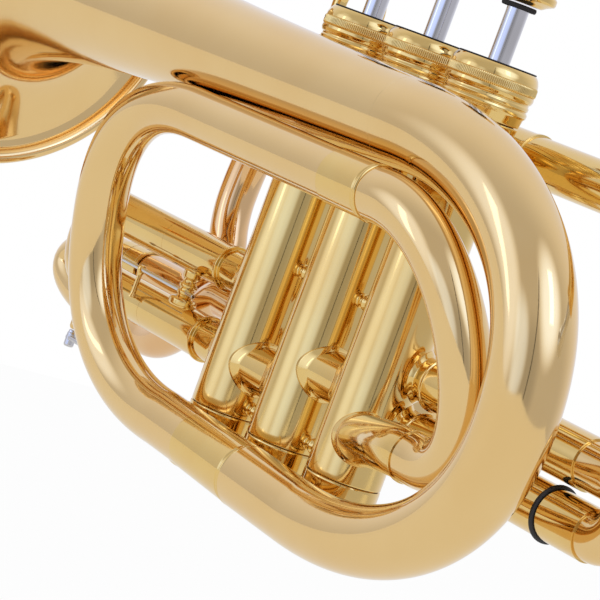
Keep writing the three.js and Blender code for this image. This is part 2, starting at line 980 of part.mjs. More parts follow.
function bell() {
  const length = bellFootX - bellRimX;
  const rimX = beadRadius;
  const outer = [];
  const inner = [];
  for (const share of flareShares) {
    const distance = length * share;
    const slope = (flarePowerShare * flareRadius(distance)) / (distance + flareLead);
    const thickness = bellWall * Math.hypot(1, slope);
    outer.push([flareRadius(distance), distance]);
    inner.push([flareRadius(distance) - Math.min(thickness, flareRadius(distance) / 2), distance]);
  }
  const bead = [];
  const beadSteps = 5;
  for (let i = 0; i <= beadSteps; i += 1) {
    const angle = Math.PI * (-0.35 + (1.5 * i) / beadSteps);
    bead.push([
      bellRimRadius - beadRadius + beadRadius * Math.sin(angle),
      rimX + beadRadius * Math.cos(angle + Math.PI),
    ]);
  }
  inner.reverse();
  const points = [...inner, ...bead, ...outer];
  points.push(points[0]);
  const geometry = turnedAlongX(points, bellSides);
  geometry.translate(bellRimX, 0, 0);
  return geometry;
}

addMesh(trumpet, 'bell', bell(), 'goldBrass').position.set(0, bellAxisY, bellAxisZ);

// Mouthpipe, receiver and mouthpiece

function leadpipe() {
  const bead = pipeRearRadius + ferruleLift;
  const bore = pipeRadius - tubeWall;
  const sleeve = pipeRearRadius * 3;
  return turnedAlongX(
    [
      [bore, pipeFrontX + seatGap],
      [pipeRadius, pipeFrontX + seatGap],
      [pipeRadius, pipeJointX - sleeve],
      [bead, pipeJointX - sleeve],
      [bead, pipeJointX],
      [pipeRearRadius, pipeJointX],
      [pipeRearRadius, pipeRearX],
      [bore, pipeRearX],
      [bore, pipeFrontX + seatGap],
    ],
    tubeSides,
  );
}

function receiver() {
  const foot = pipeRearX + seatGap;
  const mouth = foot + receiverLength;
  const bore = receiverBore;
  return turnedAlongX(
    [
      [bore, foot],
      [pipeRearRadius + tubeWall, foot],
      [receiverRadius - tubeWall, foot + receiverLength * 0.3],
      [receiverRadius - tubeWall, mouth - receiverFlangeLength],
      [receiverRadius + tubeWall, mouth - receiverFlangeLength],
      [receiverRadius + tubeWall, mouth],
      [bore, mouth],
      [bore, foot],
    ],
    castSides,
  );
}

function mouthpiece() {
  const tip = pipeRearX + seatGap + receiverLength - shankLength;
  const end = tip + mouthpieceLength;
  const cupFoot = end - cupDepth;
  const shoulder = end - cupDepth * 2;
  return turnedAlongX(
    [
      [backboreRadius, tip],
      [shankTipRadius, tip],
      [shankRadius, tip + shankLength],
      [shankTipRadius, shoulder - cupDepth],
      [cupBodyRadius * 0.8, shoulder],
      [cupBodyRadius, cupFoot],
      [mouthRimRadius * 0.93, end - cupDepth * 0.35],
      [mouthRimRadius, end - cupDepth * 0.2],
      [mouthRimRadius * 0.93, end - cupDepth * 0.05],
      [mouthRimRadius * 0.78, end],
      [cupRadius, end - cupDepth * 0.12],
      [cupRadius * 0.8, cupFoot + cupDepth * 0.3],
      [throatRadius, cupFoot - cupDepth * 0.1],
      [throatRadius, cupFoot - cupDepth * 0.7],
      [backboreRadius, tip],
    ],
    castSides,
  );
}

const pipeGroup = new THREE.Group();
pipeGroup.position.set(0, pipeY, pipeZ);
trumpet.add(pipeGroup);
addMesh(pipeGroup, 'leadpipe', leadpipe(), 'brass');
addMesh(pipeGroup, 'receiver', receiver(), 'brass');
addMesh(pipeGroup, 'mouthpiece', mouthpiece(), 'nickel');

// Little-finger hook on top of the mouthpipe

const hookFootX = -50;
const hookHeight = 23;
const hookRadius = 9;
const hookBar = 1.9;
const hookFootLength = 12;
const hookFootHeight = 2.2;

function pinkyHook() {
  const stations = [point(hookFootX, 0, pipeRadius + seatGap)];
  const stemTop = pipeRadius + hookHeight - hookRadius;
  stations.push(point(hookFootX, 0, stemTop));
  const steps = turnSteps - 1;
  for (let i = 1; i <= steps; i += 1) {
    const angle = Math.PI * 1.15 * (i / steps);
    stations.push(
      point(
        hookFootX - hookRadius + hookRadius * Math.cos(angle),
        0,
        stemTop + hookRadius * Math.sin(angle),
      ),
    );
  }
  const bar = carriedTube(stations, () => hookBar, () => 0, boreSides);
  const foot = new THREE.BoxGeometry(hookFootLength, hookBar * 2.4, hookFootHeight);
  foot.translate(hookFootX, 0, pipeRadius + seatGap + hookFootHeight / 2);
  return join(bar, foot);
}

addMesh(pipeGroup, 'pinky_hook', pinkyHook(), 'brass');

// Bow that takes the mouthpipe down and forward, and the tuning slide's fixed sleeves

const tuningTopZ = slideZ(tuningSlide) + tuningSlide.spacing / 2;
const tuningLowZ = slideZ(tuningSlide) - tuningSlide.spacing / 2;
const sleeveRearX = tuningSlide.mouthX + tuningSlide.sleeve;
const turnHalf = Math.ceil(turnSteps / 2) + 1;
const leanSteps = 3;

// The bow drops in one wide curve, leans back a little and then turns forward at the foot
function leadpipeBow() {
  const turnX = pipeFrontX - jointStub;
  const across = (turnX - pipeBowX) * pipeBowHandleShare;
  const along = (pipeZ - pipeBowLevel) * pipeBowHandleShare;
  const wide = new THREE.CubicBezierCurve3(
    point(turnX, pipeY, pipeZ),
    point(turnX - across, pipeY, pipeZ),
    point(pipeBowX, pipeY, pipeBowLevel + along),
    point(pipeBowX, pipeY, pipeBowLevel),
  );
  const stations = [point(pipeFrontX, pipeY, pipeZ), ...wide.getSpacedPoints(turnSteps)];
  for (let i = 1; i <= leanSteps; i += 1) {
    const angle = (pipeLean * i) / leanSteps;
    const x = pipeBowX + pipeLeanRadius * (1 - Math.cos(angle));
    stations.push(point(x, pipeY, pipeBowLevel - pipeLeanRadius * Math.sin(angle)));
  }
  const lowest = stations[stations.length - 1];
  const radius = (lowest.z - tuningTopZ) / (1 + Math.sin(pipeLean));
  const centreX = lowest.x - radius * Math.cos(pipeLean);
  for (let i = 1; i <= turnHalf; i += 1) {
    const angle = pipeLean - ((pipeLean + Math.PI / 2) * i) / turnHalf;
    const x = centreX + radius * Math.cos(angle);
    stations.push(point(x, pipeY, tuningTopZ + radius + radius * Math.sin(angle)));
  }
  stations.push(point(sleeveRearX + seatGap, pipeY, tuningTopZ));
  return evenTube(stations, pipeBowRadius);
}

addMesh(trumpet, 'leadpipe_bow', leadpipeBow(), 'brass');

const tuningGroup = new THREE.Group();
tuningGroup.position.set(tuningSlide.mouthX, pipeY, slideZ(tuningSlide));
tuningGroup.rotation.z = Math.PI;
trumpet.add(tuningGroup);

function tuningSleeve() {
  const bore = tuningSlide.radius - tubeWall;
  const bead = tuningSlide.radius + ferruleLift;
  const root = -tuningSlide.sleeve;
  return turnedAlongX(
    [
      [bore, root],
      [bead, root],
      [bead, root + ferruleLift * 3],
      [tuningSlide.radius, root + ferruleLift * 3],
      [tuningSlide.radius, 0],
      [bore, 0],
      [bore, root],
    ],
    tubeSides,
  );
}

for (const [level, sign] of [['upper', 1], ['lower', -1]]) {
  const mesh = addMesh(tuningGroup, `tuning_sleeve_${level}`, tuningSleeve(), 'brass');
  mesh.position.z = (sign * tuningSlide.spacing) / 2;
}

// Tuning slide, with the nipple and lugs of its water key, and the key itself

const keyX = 19;
const nippleRadius = 1.6;
const nippleHeight = 3.4;
const keyPadRadius = 1.5;
const keyPadHeight = 5;
const keyPivotX = 6.5;
const keyLeverEnd = -7;
const keyBarWidth = 3;
const keyBarHeight = 1.6;
const keyPinRadius = 1;
const lugThickness = 1.3;
const keyRise = tuningSlide.radius + nippleHeight + seatGap + keyBarHeight * 1.5;

// Pieces of the water key are made above the lower leg, then turned to hang below it
function belowLowerLeg(geometry) {
  geometry.rotateX(Math.PI);
  geometry.translate(0, 0, -tuningSlide.spacing / 2);
  return geometry;
}

function nipple() {
  const foot = tuningSlide.radius * 0.6;
  const top = tuningSlide.radius + nippleHeight;
  const geometry = turned([[0, foot], [nippleRadius, foot], [nippleRadius, top], [0, top]], smallSides);
  geometry.translate(keyX, 0, 0);
  return belowLowerLeg(geometry);
}

function lugs() {
  const foot = tuningSlide.radius * 0.7;
  const height = keyRise + keyPinRadius - foot;
  return [1, -1].map((sign) => {
    const lug = new THREE.BoxGeometry(keyPinRadius * 3, lugThickness, height);
    const side = keyBarWidth / 2 + seatGap + lugThickness / 2;
    lug.translate(keyPivotX, sign * side, foot + height / 2);
    return belowLowerLeg(lug);
  });
}

function waterKey() {
  const padFoot = tuningSlide.radius + nippleHeight + seatGap;
  const pad = turned(
    [
      [0, padFoot],
      [keyPadRadius, padFoot],
      [keyPadRadius, padFoot + keyPadHeight],
      [0, padFoot + keyPadHeight],
    ],
    smallSides,
  );
  pad.translate(keyX, 0, 0);
  const length = keyX - keyLeverEnd;
  const bar = new THREE.BoxGeometry(length, keyBarWidth, keyBarHeight);
  bar.translate(keyLeverEnd + length / 2, 0, keyRise);
  return belowLowerLeg(join(pad, bar));
}

addMesh(tuningGroup, 'tuning_slide', join(slideBow(tuningSlide), nipple(), ...lugs()), 'goldBrass');
addMesh(tuningGroup, 'water_key', waterKey(), 'nickel');

// Tube that rises from the tuning slide's lower sleeve and enters the third valve

function inletTube() {
  const inletZ = slideZ(thirdSlide);
  const rising = new THREE.CubicBezierCurve3(
    point(inletBendX, pipeY, tuningLowZ),
    point(inletLowHandleX, inletLowHandleY, tuningLowZ),
    point(inletHighHandleX, inletClearY, inletZ),
    point(inletLevelX, inletClearY, inletZ),
  );
  const stations = rising.getSpacedPoints(turnSteps + 1);
  stations.unshift(point(sleeveRearX + seatGap, pipeY, tuningLowZ));
  stations.push(point(valveX(3) - valveSpacing * 0.7, inletClearY * 0.6 + inletY * 0.4, inletZ));
  stations.push(point(valveX(3), inletY, inletZ));
  return cut(evenTube(stations, inletRadius), casingTrim(valveX(3), 0));
}

addMesh(trumpet, 'inlet_tube', inletTube(), 'brass');

// Braces that tie the bell, the valve block and the mouthpipe together

const braceFlange = 4;
const braceFlangeDepth = 0.8;
const braceShaft = 1.7;

// A turned brace that lies along Y between two levels
function crossBrace(from, to, flange) {
  const mid = (from + to) / 2;
  return turnedAlongY(
    [
      [0, from],
      [flange, from],
      [flange, from + braceFlangeDepth],
      [braceShaft, mid - braceFlangeDepth * 0.6],
      [braceShaft, mid + braceFlangeDepth * 0.6],
      [flange, to - braceFlangeDepth],
      [flange, to],
      [0, to],
    ],
    smallSides,
  );
}

for (const number of [1, 3]) {
  const x = valveX(number);
  const flange = braceFlange * 0.75;
  const bellSide = bellAxisY + flareRadius(x - flange * 2 - bellRimX) + seatGap;
  const sleeved = x > pipeJointX - pipeRearRadius * 3 && x < pipeJointX;
  const pipeSide = pipeY - (sleeved ? pipeRearRadius + ferruleLift : pipeRadius) - seatGap;
  const nearSide = crossBrace(bellSide, -casingRadius - seatGap, flange);
  const farSide = crossBrace(casingRadius + seatGap, pipeSide, flange * 0.8);
  addMesh(trumpet, `bell_brace_${number}`, nearSide, 'brass').position.set(x, 0, bellAxisZ);
  addMesh(trumpet, `pipe_brace_${number}`, farSide, 'brass').position.set(x, 0, pipeZ);
}

export default trumpet;
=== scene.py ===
import bpy
import numpy as np
from mathutils import Matrix, Vector


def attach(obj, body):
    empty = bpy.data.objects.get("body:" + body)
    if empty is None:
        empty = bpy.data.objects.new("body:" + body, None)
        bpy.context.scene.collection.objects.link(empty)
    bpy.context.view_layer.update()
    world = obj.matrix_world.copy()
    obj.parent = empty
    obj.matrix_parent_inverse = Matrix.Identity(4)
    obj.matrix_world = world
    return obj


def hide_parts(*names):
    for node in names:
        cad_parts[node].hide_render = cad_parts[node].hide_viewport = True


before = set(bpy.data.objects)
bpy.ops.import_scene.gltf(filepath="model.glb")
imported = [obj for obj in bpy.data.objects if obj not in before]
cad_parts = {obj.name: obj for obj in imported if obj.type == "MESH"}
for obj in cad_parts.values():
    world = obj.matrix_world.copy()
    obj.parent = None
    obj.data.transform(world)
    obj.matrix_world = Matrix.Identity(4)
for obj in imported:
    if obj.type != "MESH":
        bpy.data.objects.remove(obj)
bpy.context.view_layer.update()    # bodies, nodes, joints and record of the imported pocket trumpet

# Camera: a long lens on the player's left, a little above the bell's axis and dipped towards it. It is
# rolled, so that level lines slope down to the right in the picture.

camera_place = Vector((0.57380, -0.44143, 0.05622))
yaw, dip, roll = np.radians([36.903, 5.215, 20.293])
ahead = Vector((-np.cos(yaw) * np.cos(dip), np.sin(yaw) * np.cos(dip), -np.sin(dip)))
level_right = Vector((np.sin(yaw), np.cos(yaw), 0))
level_up = level_right.cross(ahead)
camera_right = level_right * np.cos(roll) + level_up * np.sin(roll)
camera_up = level_up * np.cos(roll) - level_right * np.sin(roll)

lens = bpy.data.cameras.new("camera")
lens.sensor_width = 36
lens.lens = 176.21
lens.clip_start, lens.clip_end = 0.05, 20
camera = bpy.data.objects.new("camera", lens)
turned_to = Matrix((camera_right, camera_up, -ahead)).transposed()
camera.matrix_world = Matrix.Translation(camera_place) @ turned_to.to_4x4()
bpy.context.scene.collection.objects.link(camera)
bpy.context.scene.camera = camera


# Valve casings: three drawn brass tubes that stand side by side, each with a turned collar soldered on
# near the top and a cut thread at both ends under the caps.

millimetre = 0.001
bend_steps = 3
largest_bend_share = 0.28
flat_point_share = 1.7


def softened(corners, radius, poles=False):
    """A closed line of (along, out) corners with each corner rounded. A point of a bend is the quadratic
    blend of the corner and two points one radius along its sides; one more point on each side, a little past
    the bend, keeps the flats flat. With poles, the line is open and its first and last corners, which lie on
    the axis, stay as they are."""
    corner = np.asarray(corners, float)
    before, after = np.roll(corner, 1, 0) - corner, np.roll(corner, -1, 0) - corner
    before_length = np.linalg.norm(before, axis=1, keepdims=True)
    after_length = np.linalg.norm(after, axis=1, keepdims=True)
    reach = np.minimum(radius, largest_bend_share * np.minimum(before_length, after_length))
    before, after = before / before_length * reach, after / after_length * reach
    share = np.linspace(0, 1, bend_steps + 1)[:, None, None]
    bend = corner + (1 - share) ** 2 * before + share ** 2 * after
    first, last = corner + before * flat_point_share, corner + after * flat_point_share
    rows = np.concatenate([[first], bend, [last]]).transpose(1, 0, 2)
    if poles:
        return np.concatenate([corner[:1], rows[1:-1].reshape(-1, 2), corner[-1:]])
    return rows.reshape(-1, 2)


def divided(line, step, closed=True):
    """The same line with points added on its straight stretches, so that the next point is never further
    along than one step: each stretch is cut into as many equal shares as it needs."""
    starts, ends = (line, np.roll(line, -1, 0)) if closed else (line[:-1], line[1:])
    count = np.maximum(1, np.ceil(np.abs(ends[:, 0] - starts[:, 0]) / step)).astype(int)
    stretch = np.repeat(np.arange(len(count)), count)
    share = (np.arange(count.sum()) - np.repeat(np.cumsum(count) - count, count)) / count[stretch]
    points = starts[stretch] + (ends - starts)[stretch] * share[:, None]
    return points if closed else np.concatenate([points, line[-1:]])


def shell(grid, poles=False):
    """Points and four-cornered faces of a grid of rings. A face joins two neighbours on a ring to the two
    beside them on the next ring; the last ring joins the first, or with poles both end rings shrink to one
    point. The faces are turned outwards by the sign of the volume, which is the sum over all faces of
    corner . (corner x corner)."""
    rings, around = grid.shape[:2]
    index = np.arange(rings * around).reshape(rings, around)
    low, high = index, np.roll(index, -1, 0)
    if poles:
        index[0], index[-1] = index[0, 0], index[-1, 0]
        low, high = index[:-1], index[1:]
    faces = np.stack([low, np.roll(low, -1, 1), np.roll(high, -1, 1), high], -1).reshape(-1, 4)
    points = grid.reshape(-1, 3)
    a, b, c, d = points[faces].transpose(1, 0, 2)
    volume = np.einsum("ij,ij", a, np.cross(b, c)) + np.einsum("ij,ij", a, np.cross(c, d))
    return points, faces if volume > 0 else faces[:, ::-1]


def smooth_share(value):
    """0 up to 0, 1 from 1 on, and 3v^2 - 2v^3 between."""
    value = np.clip(value, 0, 1)
    return value * value * (3 - 2 * value)


def distances(path):
    """How far along a line each of its points lies."""
    return np.concatenate([[0], np.cumsum(np.linalg.norm(np.diff(path, axis=0), axis=1))])


casing_radius = 9.6
saddle_fade = 9
bend_step, straight_step = 1.1, 4


def carried(path, profile, around=96, side=(0, 1, 0), section=None, relief=None, foot=None, step=None):
    """A shell made by a profile of (along, out) points carried round a path. A point lies at
    path(along) + radius * (cos(angle) * side + sin(angle) * lift), where side is the given direction made
    square to the path, lift is square to both, and radius is out * section(angle) + relief(along, angle).
    With a foot, the (x, y) of the valve's axis where the path begins, distances count from the place where
    the path leaves the casing, and each point near that end is slid along the path to where its own line
    leaves the casing, so that the end sits on the casing like a saddle."""
    path = np.asarray(path, float)
    profile = np.asarray(profile, float)
    poles = profile[0, 1] == 0 and profile[-1, 1] == 0
    if step:
        profile = divided(profile, step, closed=not poles)
    span = distances(path)
    heading = np.gradient(path, span, axis=0)
    angle = np.arange(around)[None] * 2 * np.pi / around
    along, out = profile[:, :1] + 0 * angle, profile[:, 1:] + 0 * angle
    radius = out * section(angle) if section else out
    radius = radius + relief(along, angle) if relief else radius
    side = np.asarray(side, float)

    def frame_at(distance):
        inside = np.clip(distance, 0, span[-1])
        place = np.stack([np.interp(inside, span, path[:, k]) for k in range(3)], -1)
        course = np.stack([np.interp(inside, span, heading[:, k]) for k in range(3)], -1)
        course /= np.linalg.norm(course, axis=-1, keepdims=True)
        across = side - course * (course @ side)[..., None]
        across /= np.linalg.norm(across, axis=-1, keepdims=True)
        ring = np.cos(angle)[..., None] * across + np.sin(angle)[..., None] * np.cross(course, across)
        return place + (distance - inside)[..., None] * course, course, ring

    if foot is not None:
        place, course, ring = frame_at(0 * along)
        start = (place + radius[..., None] * ring)[..., :2] - foot
        way = course[..., :2]
        a, b = (way * way).sum(-1), (way * start).sum(-1)
        under = b * b - a * ((start * start).sum(-1) - casing_radius ** 2)
        leaves = (np.sqrt(np.maximum(under, 0)) - b) / a
        centre = place[0, 0, :2] - foot
        reach, lean = (way[0, 0] ** 2).sum(), way[0, 0] @ centre
        middle = (np.sqrt(lean * lean - reach * (centre @ centre - casing_radius ** 2)) - lean) / reach
        along = along + middle + (leaves - middle) * (1 - smooth_share(along / saddle_fade))
    place, course, ring = frame_at(along)
    return shell(place + radius[..., None] * ring, poles)


def mesh_from(name, shells):
    """One mesh from several shells, in metres. A face with two corners on one pole becomes a triangle, and
    points that no face uses are left out."""
    counts = np.cumsum([0] + [len(points) for points, _ in shells])
    faces = np.concatenate([faces + start for (_, faces), start in zip(shells, counts)])
    used, faces_flat = np.unique(faces, return_inverse=True)
    faces = faces_flat.reshape(-1, 4)
    points = np.concatenate([points for points, _ in shells])[used] * millimetre
    doubled = faces == np.roll(faces, -1, 1)
    at_pole = doubled.any(1)
    triangles = faces[at_pole][~doubled[at_pole]].reshape(-1, 3)
    mesh = bpy.data.meshes.new(name)
    mesh.from_pydata(points.tolist(), [], faces[~at_pole].tolist() + triangles.tolist())
    mesh.shade_smooth()
    return mesh


def fitted(name, shells, body, finish, slot, *nodes):
    """A finished piece: its mesh stays where it was made, it rides a body, and it stands for CAD nodes."""
    piece = bpy.data.objects.new(name, mesh_from(name, shells))
    bpy.context.scene.collection.objects.link(piece)
    piece.data.materials.append(finish)
    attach(piece, body)
    if nodes:
        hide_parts(*nodes)


class Channel:
    """One output of a node. Sums and products with numbers or other channels add Math nodes."""

    def __init__(self, recipe, socket):
        self.recipe, self.socket = recipe, socket

    def maths(self, operation, first, second):
        return self.recipe.node("ShaderNodeMath", {"operation": operation}, {0: first, 1: second})

    def __add__(self, other):
        return self.maths("ADD", self, other)

    def __sub__(self, other):
        return self.maths("SUBTRACT", self, other)

    def __rsub__(self, other):
        return self.maths("SUBTRACT", other, self)

    def __mul__(self, other):
        return self.maths("MULTIPLY", self, other)

    __radd__, __rmul__ = __add__, __mul__


class Recipe:
    """The node tree of one finish, or of the studio. A node is made from its type, its settings and the
    values or links of its sockets."""

    def __init__(self, tree):
        self.tree = tree
        tree.nodes.clear()

    def node(self, kind, settings=None, values=None, output=0):
        made = self.tree.nodes.new(kind)
        for key, value in (settings or {}).items():
            setattr(made, key, value)
        for key, value in (values or {}).items():
            if isinstance(value, Channel):
                self.tree.links.new(value.socket, made.inputs[key])
            else:
                made.inputs[key].default_value = value
        return Channel(self, made.outputs[output]) if made.outputs else made

    def mix(self, share, first, second):
        values = {0: share, 6: first, 7: second}
        return self.node("ShaderNodeMix", {"data_type": "RGBA"}, values, output=2)

    def noise(self, place, scale, detail, roughness):
        values = {"Vector": place, "Scale": scale, "Detail": detail, "Roughness": roughness}
        return self.node("ShaderNodeTexNoise", {}, values)


speck_share = 0.12
least_roughness, speck_roughness, line_roughness = 0.035, 0.05, 0.04


def lacquered(name, colour, warm, patch_share):
    """Polished metal under clear lacquer: its colour drifts towards a warmer one in wide patches and in fine
    specks, its gloss varies a little, and a slight unevenness and fine polishing lines bend what it
    mirrors."""
    material = bpy.data.materials.new(name)
    material.use_nodes = True
    recipe = Recipe(material.node_tree)
    place = recipe.node("ShaderNodeTexCoord", output=3)
    wide = recipe.noise(place, scale=38, detail=3, roughness=0.5)
    fine = recipe.noise(place, scale=900, detail=4, roughness=0.6)
    drawn = recipe.node("ShaderNodeMapping", {}, {"Vector": place, "Rotation": (0.4, 0.3, 0.7),
                                                  "Scale": (220, 2600, 2600)})
    lines = recipe.noise(drawn, scale=1, detail=2, roughness=0.55)
    patch = recipe.node("ShaderNodeMapRange", {}, {"Value": wide, "From Min": 0.35, "From Max": 0.68})
    base = recipe.mix(patch * patch_share + fine * speck_share, (*colour, 1), (*warm, 1))
    gloss = fine * speck_roughness + lines * line_roughness + least_roughness
    swell = recipe.node("ShaderNodeBump", {}, {"Strength": 0.10, "Distance": 0.0006, "Height": wide})
    relief = recipe.node("ShaderNodeBump", {}, {"Strength": 0.05, "Distance": 0.00002, "Height": lines,
                                                "Normal": swell})
    shade = recipe.node("ShaderNodeBsdfPrincipled", {}, {
        "Base Color": base, "Metallic": 1.0, "Roughness": gloss, "Normal": relief, "Coat Weight": 0.35,
        "Coat Roughness": 0.03, "Coat IOR": 1.5})
    recipe.node("ShaderNodeOutputMaterial", {}, {"Surface": shade})
    return material


yellow_brass = lacquered("yellow_brass", (0.84, 0.60, 0.215), (0.78, 0.47, 0.13), patch_share=0.5)
gold_brass = lacquered("gold_brass", (0.84, 0.59, 0.262), (0.80, 0.53, 0.21), patch_share=0.5)
rose_brass = lacquered("rose_brass", (0.82, 0.53, 0.25), (0.77, 0.43, 0.17), patch_share=0.6)
nickel_silver = lacquered("nickel_silver", (0.70, 0.69, 0.70), (0.55, 0.52, 0.49), patch_share=0.6)


def placed(name, shells, *nodes):
    """A yellow brass piece that is fixed to the horn."""
    fitted(name, shells, "horn", yellow_brass, "yellow_brass", *nodes)


valve_spacing = 27.0
valve_x = {number: (2 - number) * valve_spacing for number in (1, 2, 3)}
casing_bore = 8.7
thread_radius = 8.9
collar_radius = 9.95


def turned(profile, centre, axis=(0, 0, 1), around=96, relief=None, side=(0, 1, 0)):
    """A profile of (height, out) points turned round a straight axis through the centre."""
    centre = np.asarray(centre, float)
    return carried([centre, centre + np.asarray(axis, float)], profile, around, side, relief=relief)


for number, x in valve_x.items():
    tube = softened([(-59.3, casing_bore), (-59.3, thread_radius), (-44.7, thread_radius),
                     (-44.7, casing_radius), (46.4, casing_radius), (47.4, collar_radius - 0.1),
                     (47.8, collar_radius), (48.2, collar_radius), (48.2, thread_radius),
                     (59.3, thread_radius), (59.3, casing_bore)], 0.3)
    placed(f"casing_{number}", [turned(tube, (x, 0, 0))], f"valve_casing_{number}")


# Top caps: turned brass screwed on to each casing, with a knurled grip between plain bands and
# a hole for the stem. A thin black disc on each top is a painted dark reflection: it stands in for
# the dark that the flat top mirrors at a grazing angle.

cap_radius = 11.25
knurl_count = 140
knurl_depth, knurl_fade = 0.26, 0.5
points_per_ridge = 6


def knurled(low, high, x):
    """A cap's ring of ridges: out = radius + depth * (cos(count * angle) - 1) / 2, with the depth fading at
    the ring's edges. Its outline is the same from both edges, as pairs of how far in and how far below."""
    def ridge(along, angle):
        edge = smooth_share((along - low) / knurl_fade) * smooth_share((high - along) / knurl_fade)
        return edge * knurl_depth * (np.cos(knurl_count * angle) - 1) / 2

    from_edge = [(0, 0.9), (0, 0.35), (0.25, 0.08), (0.6, 0), (1.0, 0)]
    band = [(low + inwards, cap_radius - below) for inwards, below in from_edge]
    band += [(high - inwards, cap_radius - below) for inwards, below in reversed(from_edge)]
    return turned(band, (x, 0, 0), around=knurl_count * points_per_ridge, relief=ridge)


for number, x in valve_x.items():
    cap = softened([(48.5, 9.2), (48.5, 9.9), (49.7, 10.15), (50.9, 10.45), (51.2, 10.8), (52.0, 10.9),
                    (52.5, 10.65), (52.7, 10.4), (53.0, 10.7), (53.7, 10.75), (54.1, 10.5), (54.5, 10.5),
                    (54.8, 10.9), (55.6, 11.2), (56.4, 11.1), (56.5, 10.8), (58.7, 10.8), (58.8, 11.1),
                    (59.7, 10.95), (60.6, 10.6), (61.2, 10.2), (61.6, 9.8), (61.65, 9.5), (61.65, 3.05),
                    (59.6, 3.05), (59.6, 9.2)], 0.3)
    placed(f"top_cap_shell_{number}", [turned(cap, (x, 0, 0)), knurled(56.4, 58.9, x)], f"top_cap_{number}")

# Bottom caps: a slim turned neck on the casing's lower thread, and a wider knurled foot with a
# small vent hole in the middle.

for number, x in valve_x.items():
    cap = softened([(-45.0, 9.2), (-45.0, 9.6), (-45.4, 9.68), (-52.0, 9.7), (-52.6, 9.95), (-53.4, 10.0),
                    (-53.9, 10.3), (-54.8, 10.9), (-55.6, 11.1), (-56.3, 11.1), (-56.3, 10.8), (-59.2, 10.8),
                    (-59.2, 11.1), (-60.4, 11.0), (-62.0, 9.5), (-62.0, 1.65), (-59.6, 1.65),
                    (-59.6, 9.2)], 0.3)
    placed(f"bottom_cap_shell_{number}", [turned(cap, (x, 0, 0)), knurled(-59.3, -56.2, x)],
           f"bottom_cap_{number}")

# Pistons: nickel-silver cylinders, open below, that run in the casings on springs, each with a
# plain stem through the cap.

stem_radius = 2.75
stem_top = 76.5

for number, x in valve_x.items():
    body = softened([(26.6, 0), (26.6, 7.5), (-29, 7.5), (-29, 8.4), (29, 8.4), (31.75, stem_radius + 0.2),
                     (33, stem_radius), (stem_top, stem_radius), (stem_top, 0)], 0.3, poles=True)
    fitted(f"piston_body_{number}", [turned(body, (x, 0, 0), around=64)], f"valve_{number}", nickel_silver,
           "silver", f"piston_{number}")

# Finger buttons: a turned brass cup on each stem, a pearl disc set in it, and a black felt ring
# below that quiets the stroke.


def plain(name, colour, second, scale, roughness, spread, height, depth):
    """A finish without metal: two colours mixed by noise, with a varied roughness and a bumped surface."""
    material = bpy.data.materials.new(name)
    material.use_nodes = True
    recipe = Recipe(material.node_tree)
    place = recipe.node("ShaderNodeTexCoord", output=3)
    grain = recipe.noise(place, scale, detail=4, roughness=0.6)
    base = recipe.mix(grain, (*colour, 1), (*second, 1))
    relief = recipe.node("ShaderNodeBump", {}, {"Strength": height, "Distance": depth, "Height": grain})
    shade = recipe.node("ShaderNodeBsdfPrincipled", {}, {
        "Base Color": base, "Roughness": grain * spread + roughness, "Normal": relief})
    recipe.node("ShaderNodeOutputMaterial", {}, {"Surface": shade})
    return material


pearl_shell = plain("pearl_shell", (0.86, 0.84, 0.80), (0.72, 0.76, 0.74), scale=420, roughness=0.08,
                    spread=0.15, height=0.05, depth=0.00005)
# The black felt finish serves the real felt rings under the buttons, and also the painted dark reflection on
# the cap tops.
black_felt_and_painted_reflection = plain("black_felt_and_painted_reflection", (0.012, 0.012, 0.014), (0.04, 0.038, 0.036), scale=3200, roughness=0.85,
                   spread=0.1, height=0.7, depth=0.0002)
black_rubber = plain("black_rubber", (0.012, 0.011, 0.011), (0.03, 0.028, 0.027), scale=1500,
                     roughness=0.4, spread=0.25, height=0.2, depth=0.00005)

for number, x in valve_x.items():
    cup = softened([(76.8, 0), (76.8, 5.2), (77.6, 6.4), (78.3, 8.0), (78.8, 8.2), (79.9, 8.2), (80.6, 7.5),
                    (80.6, 6.6), (79.7, 6.6), (79.7, 0)], 0.25, poles=True)
    fitted(f"button_cup_{number}", [turned(cup, (x, 0, 0))], f"valve_{number}", yellow_brass, "yellow_brass",
           f"finger_button_{number}")
    disc = softened([(80.0, 0), (80.0, 6.3), (80.75, 6.3), (81.2, 4.4), (81.4, 2.0), (81.5, 0)], 0.4,
                    poles=True)
    fitted(f"pearl_disc_{number}", [turned(disc, (x, 0, 0))], f"valve_{number}", pearl_shell, "pearl",
           f"button_pearl_{number}")
    ring = softened([(75.3, 3.05), (75.3, 4.2), (75.9, 4.4), (76.5, 4.2), (76.5, 3.05)], 0.3)
    fitted(f"felt_ring_{number}", [turned(ring, (x, 0, 0))], f"valve_{number}", black_felt_and_painted_reflection, "felt",
           f"button_felt_{number}")
    # A thin black disc on each cap's top is painted reflection: it stands in for the dark that the top face
    # mirrors edge-on.
    painted_reflection_disc = softened([(61.66, 3.1), (61.66, 9.75), (61.98, 9.7), (61.98, 3.1)], 0.1)
    fitted(f"cap_painted_reflection_{number}", [turned(painted_reflection_disc, (x, 0, 0))], "horn", black_felt_and_painted_reflection, "felt")

# Knuckles: two short brass tubes that carry the air from one casing to the next, flared where they
# are soldered on.

tube_wall = 0.6
knuckle_radius, knuckle_flare = 6.2, 1.15
knuckle_side = -1.0
plain_share = 0.72
knuckle_levels = {1: -23.9, 2: -31.2}


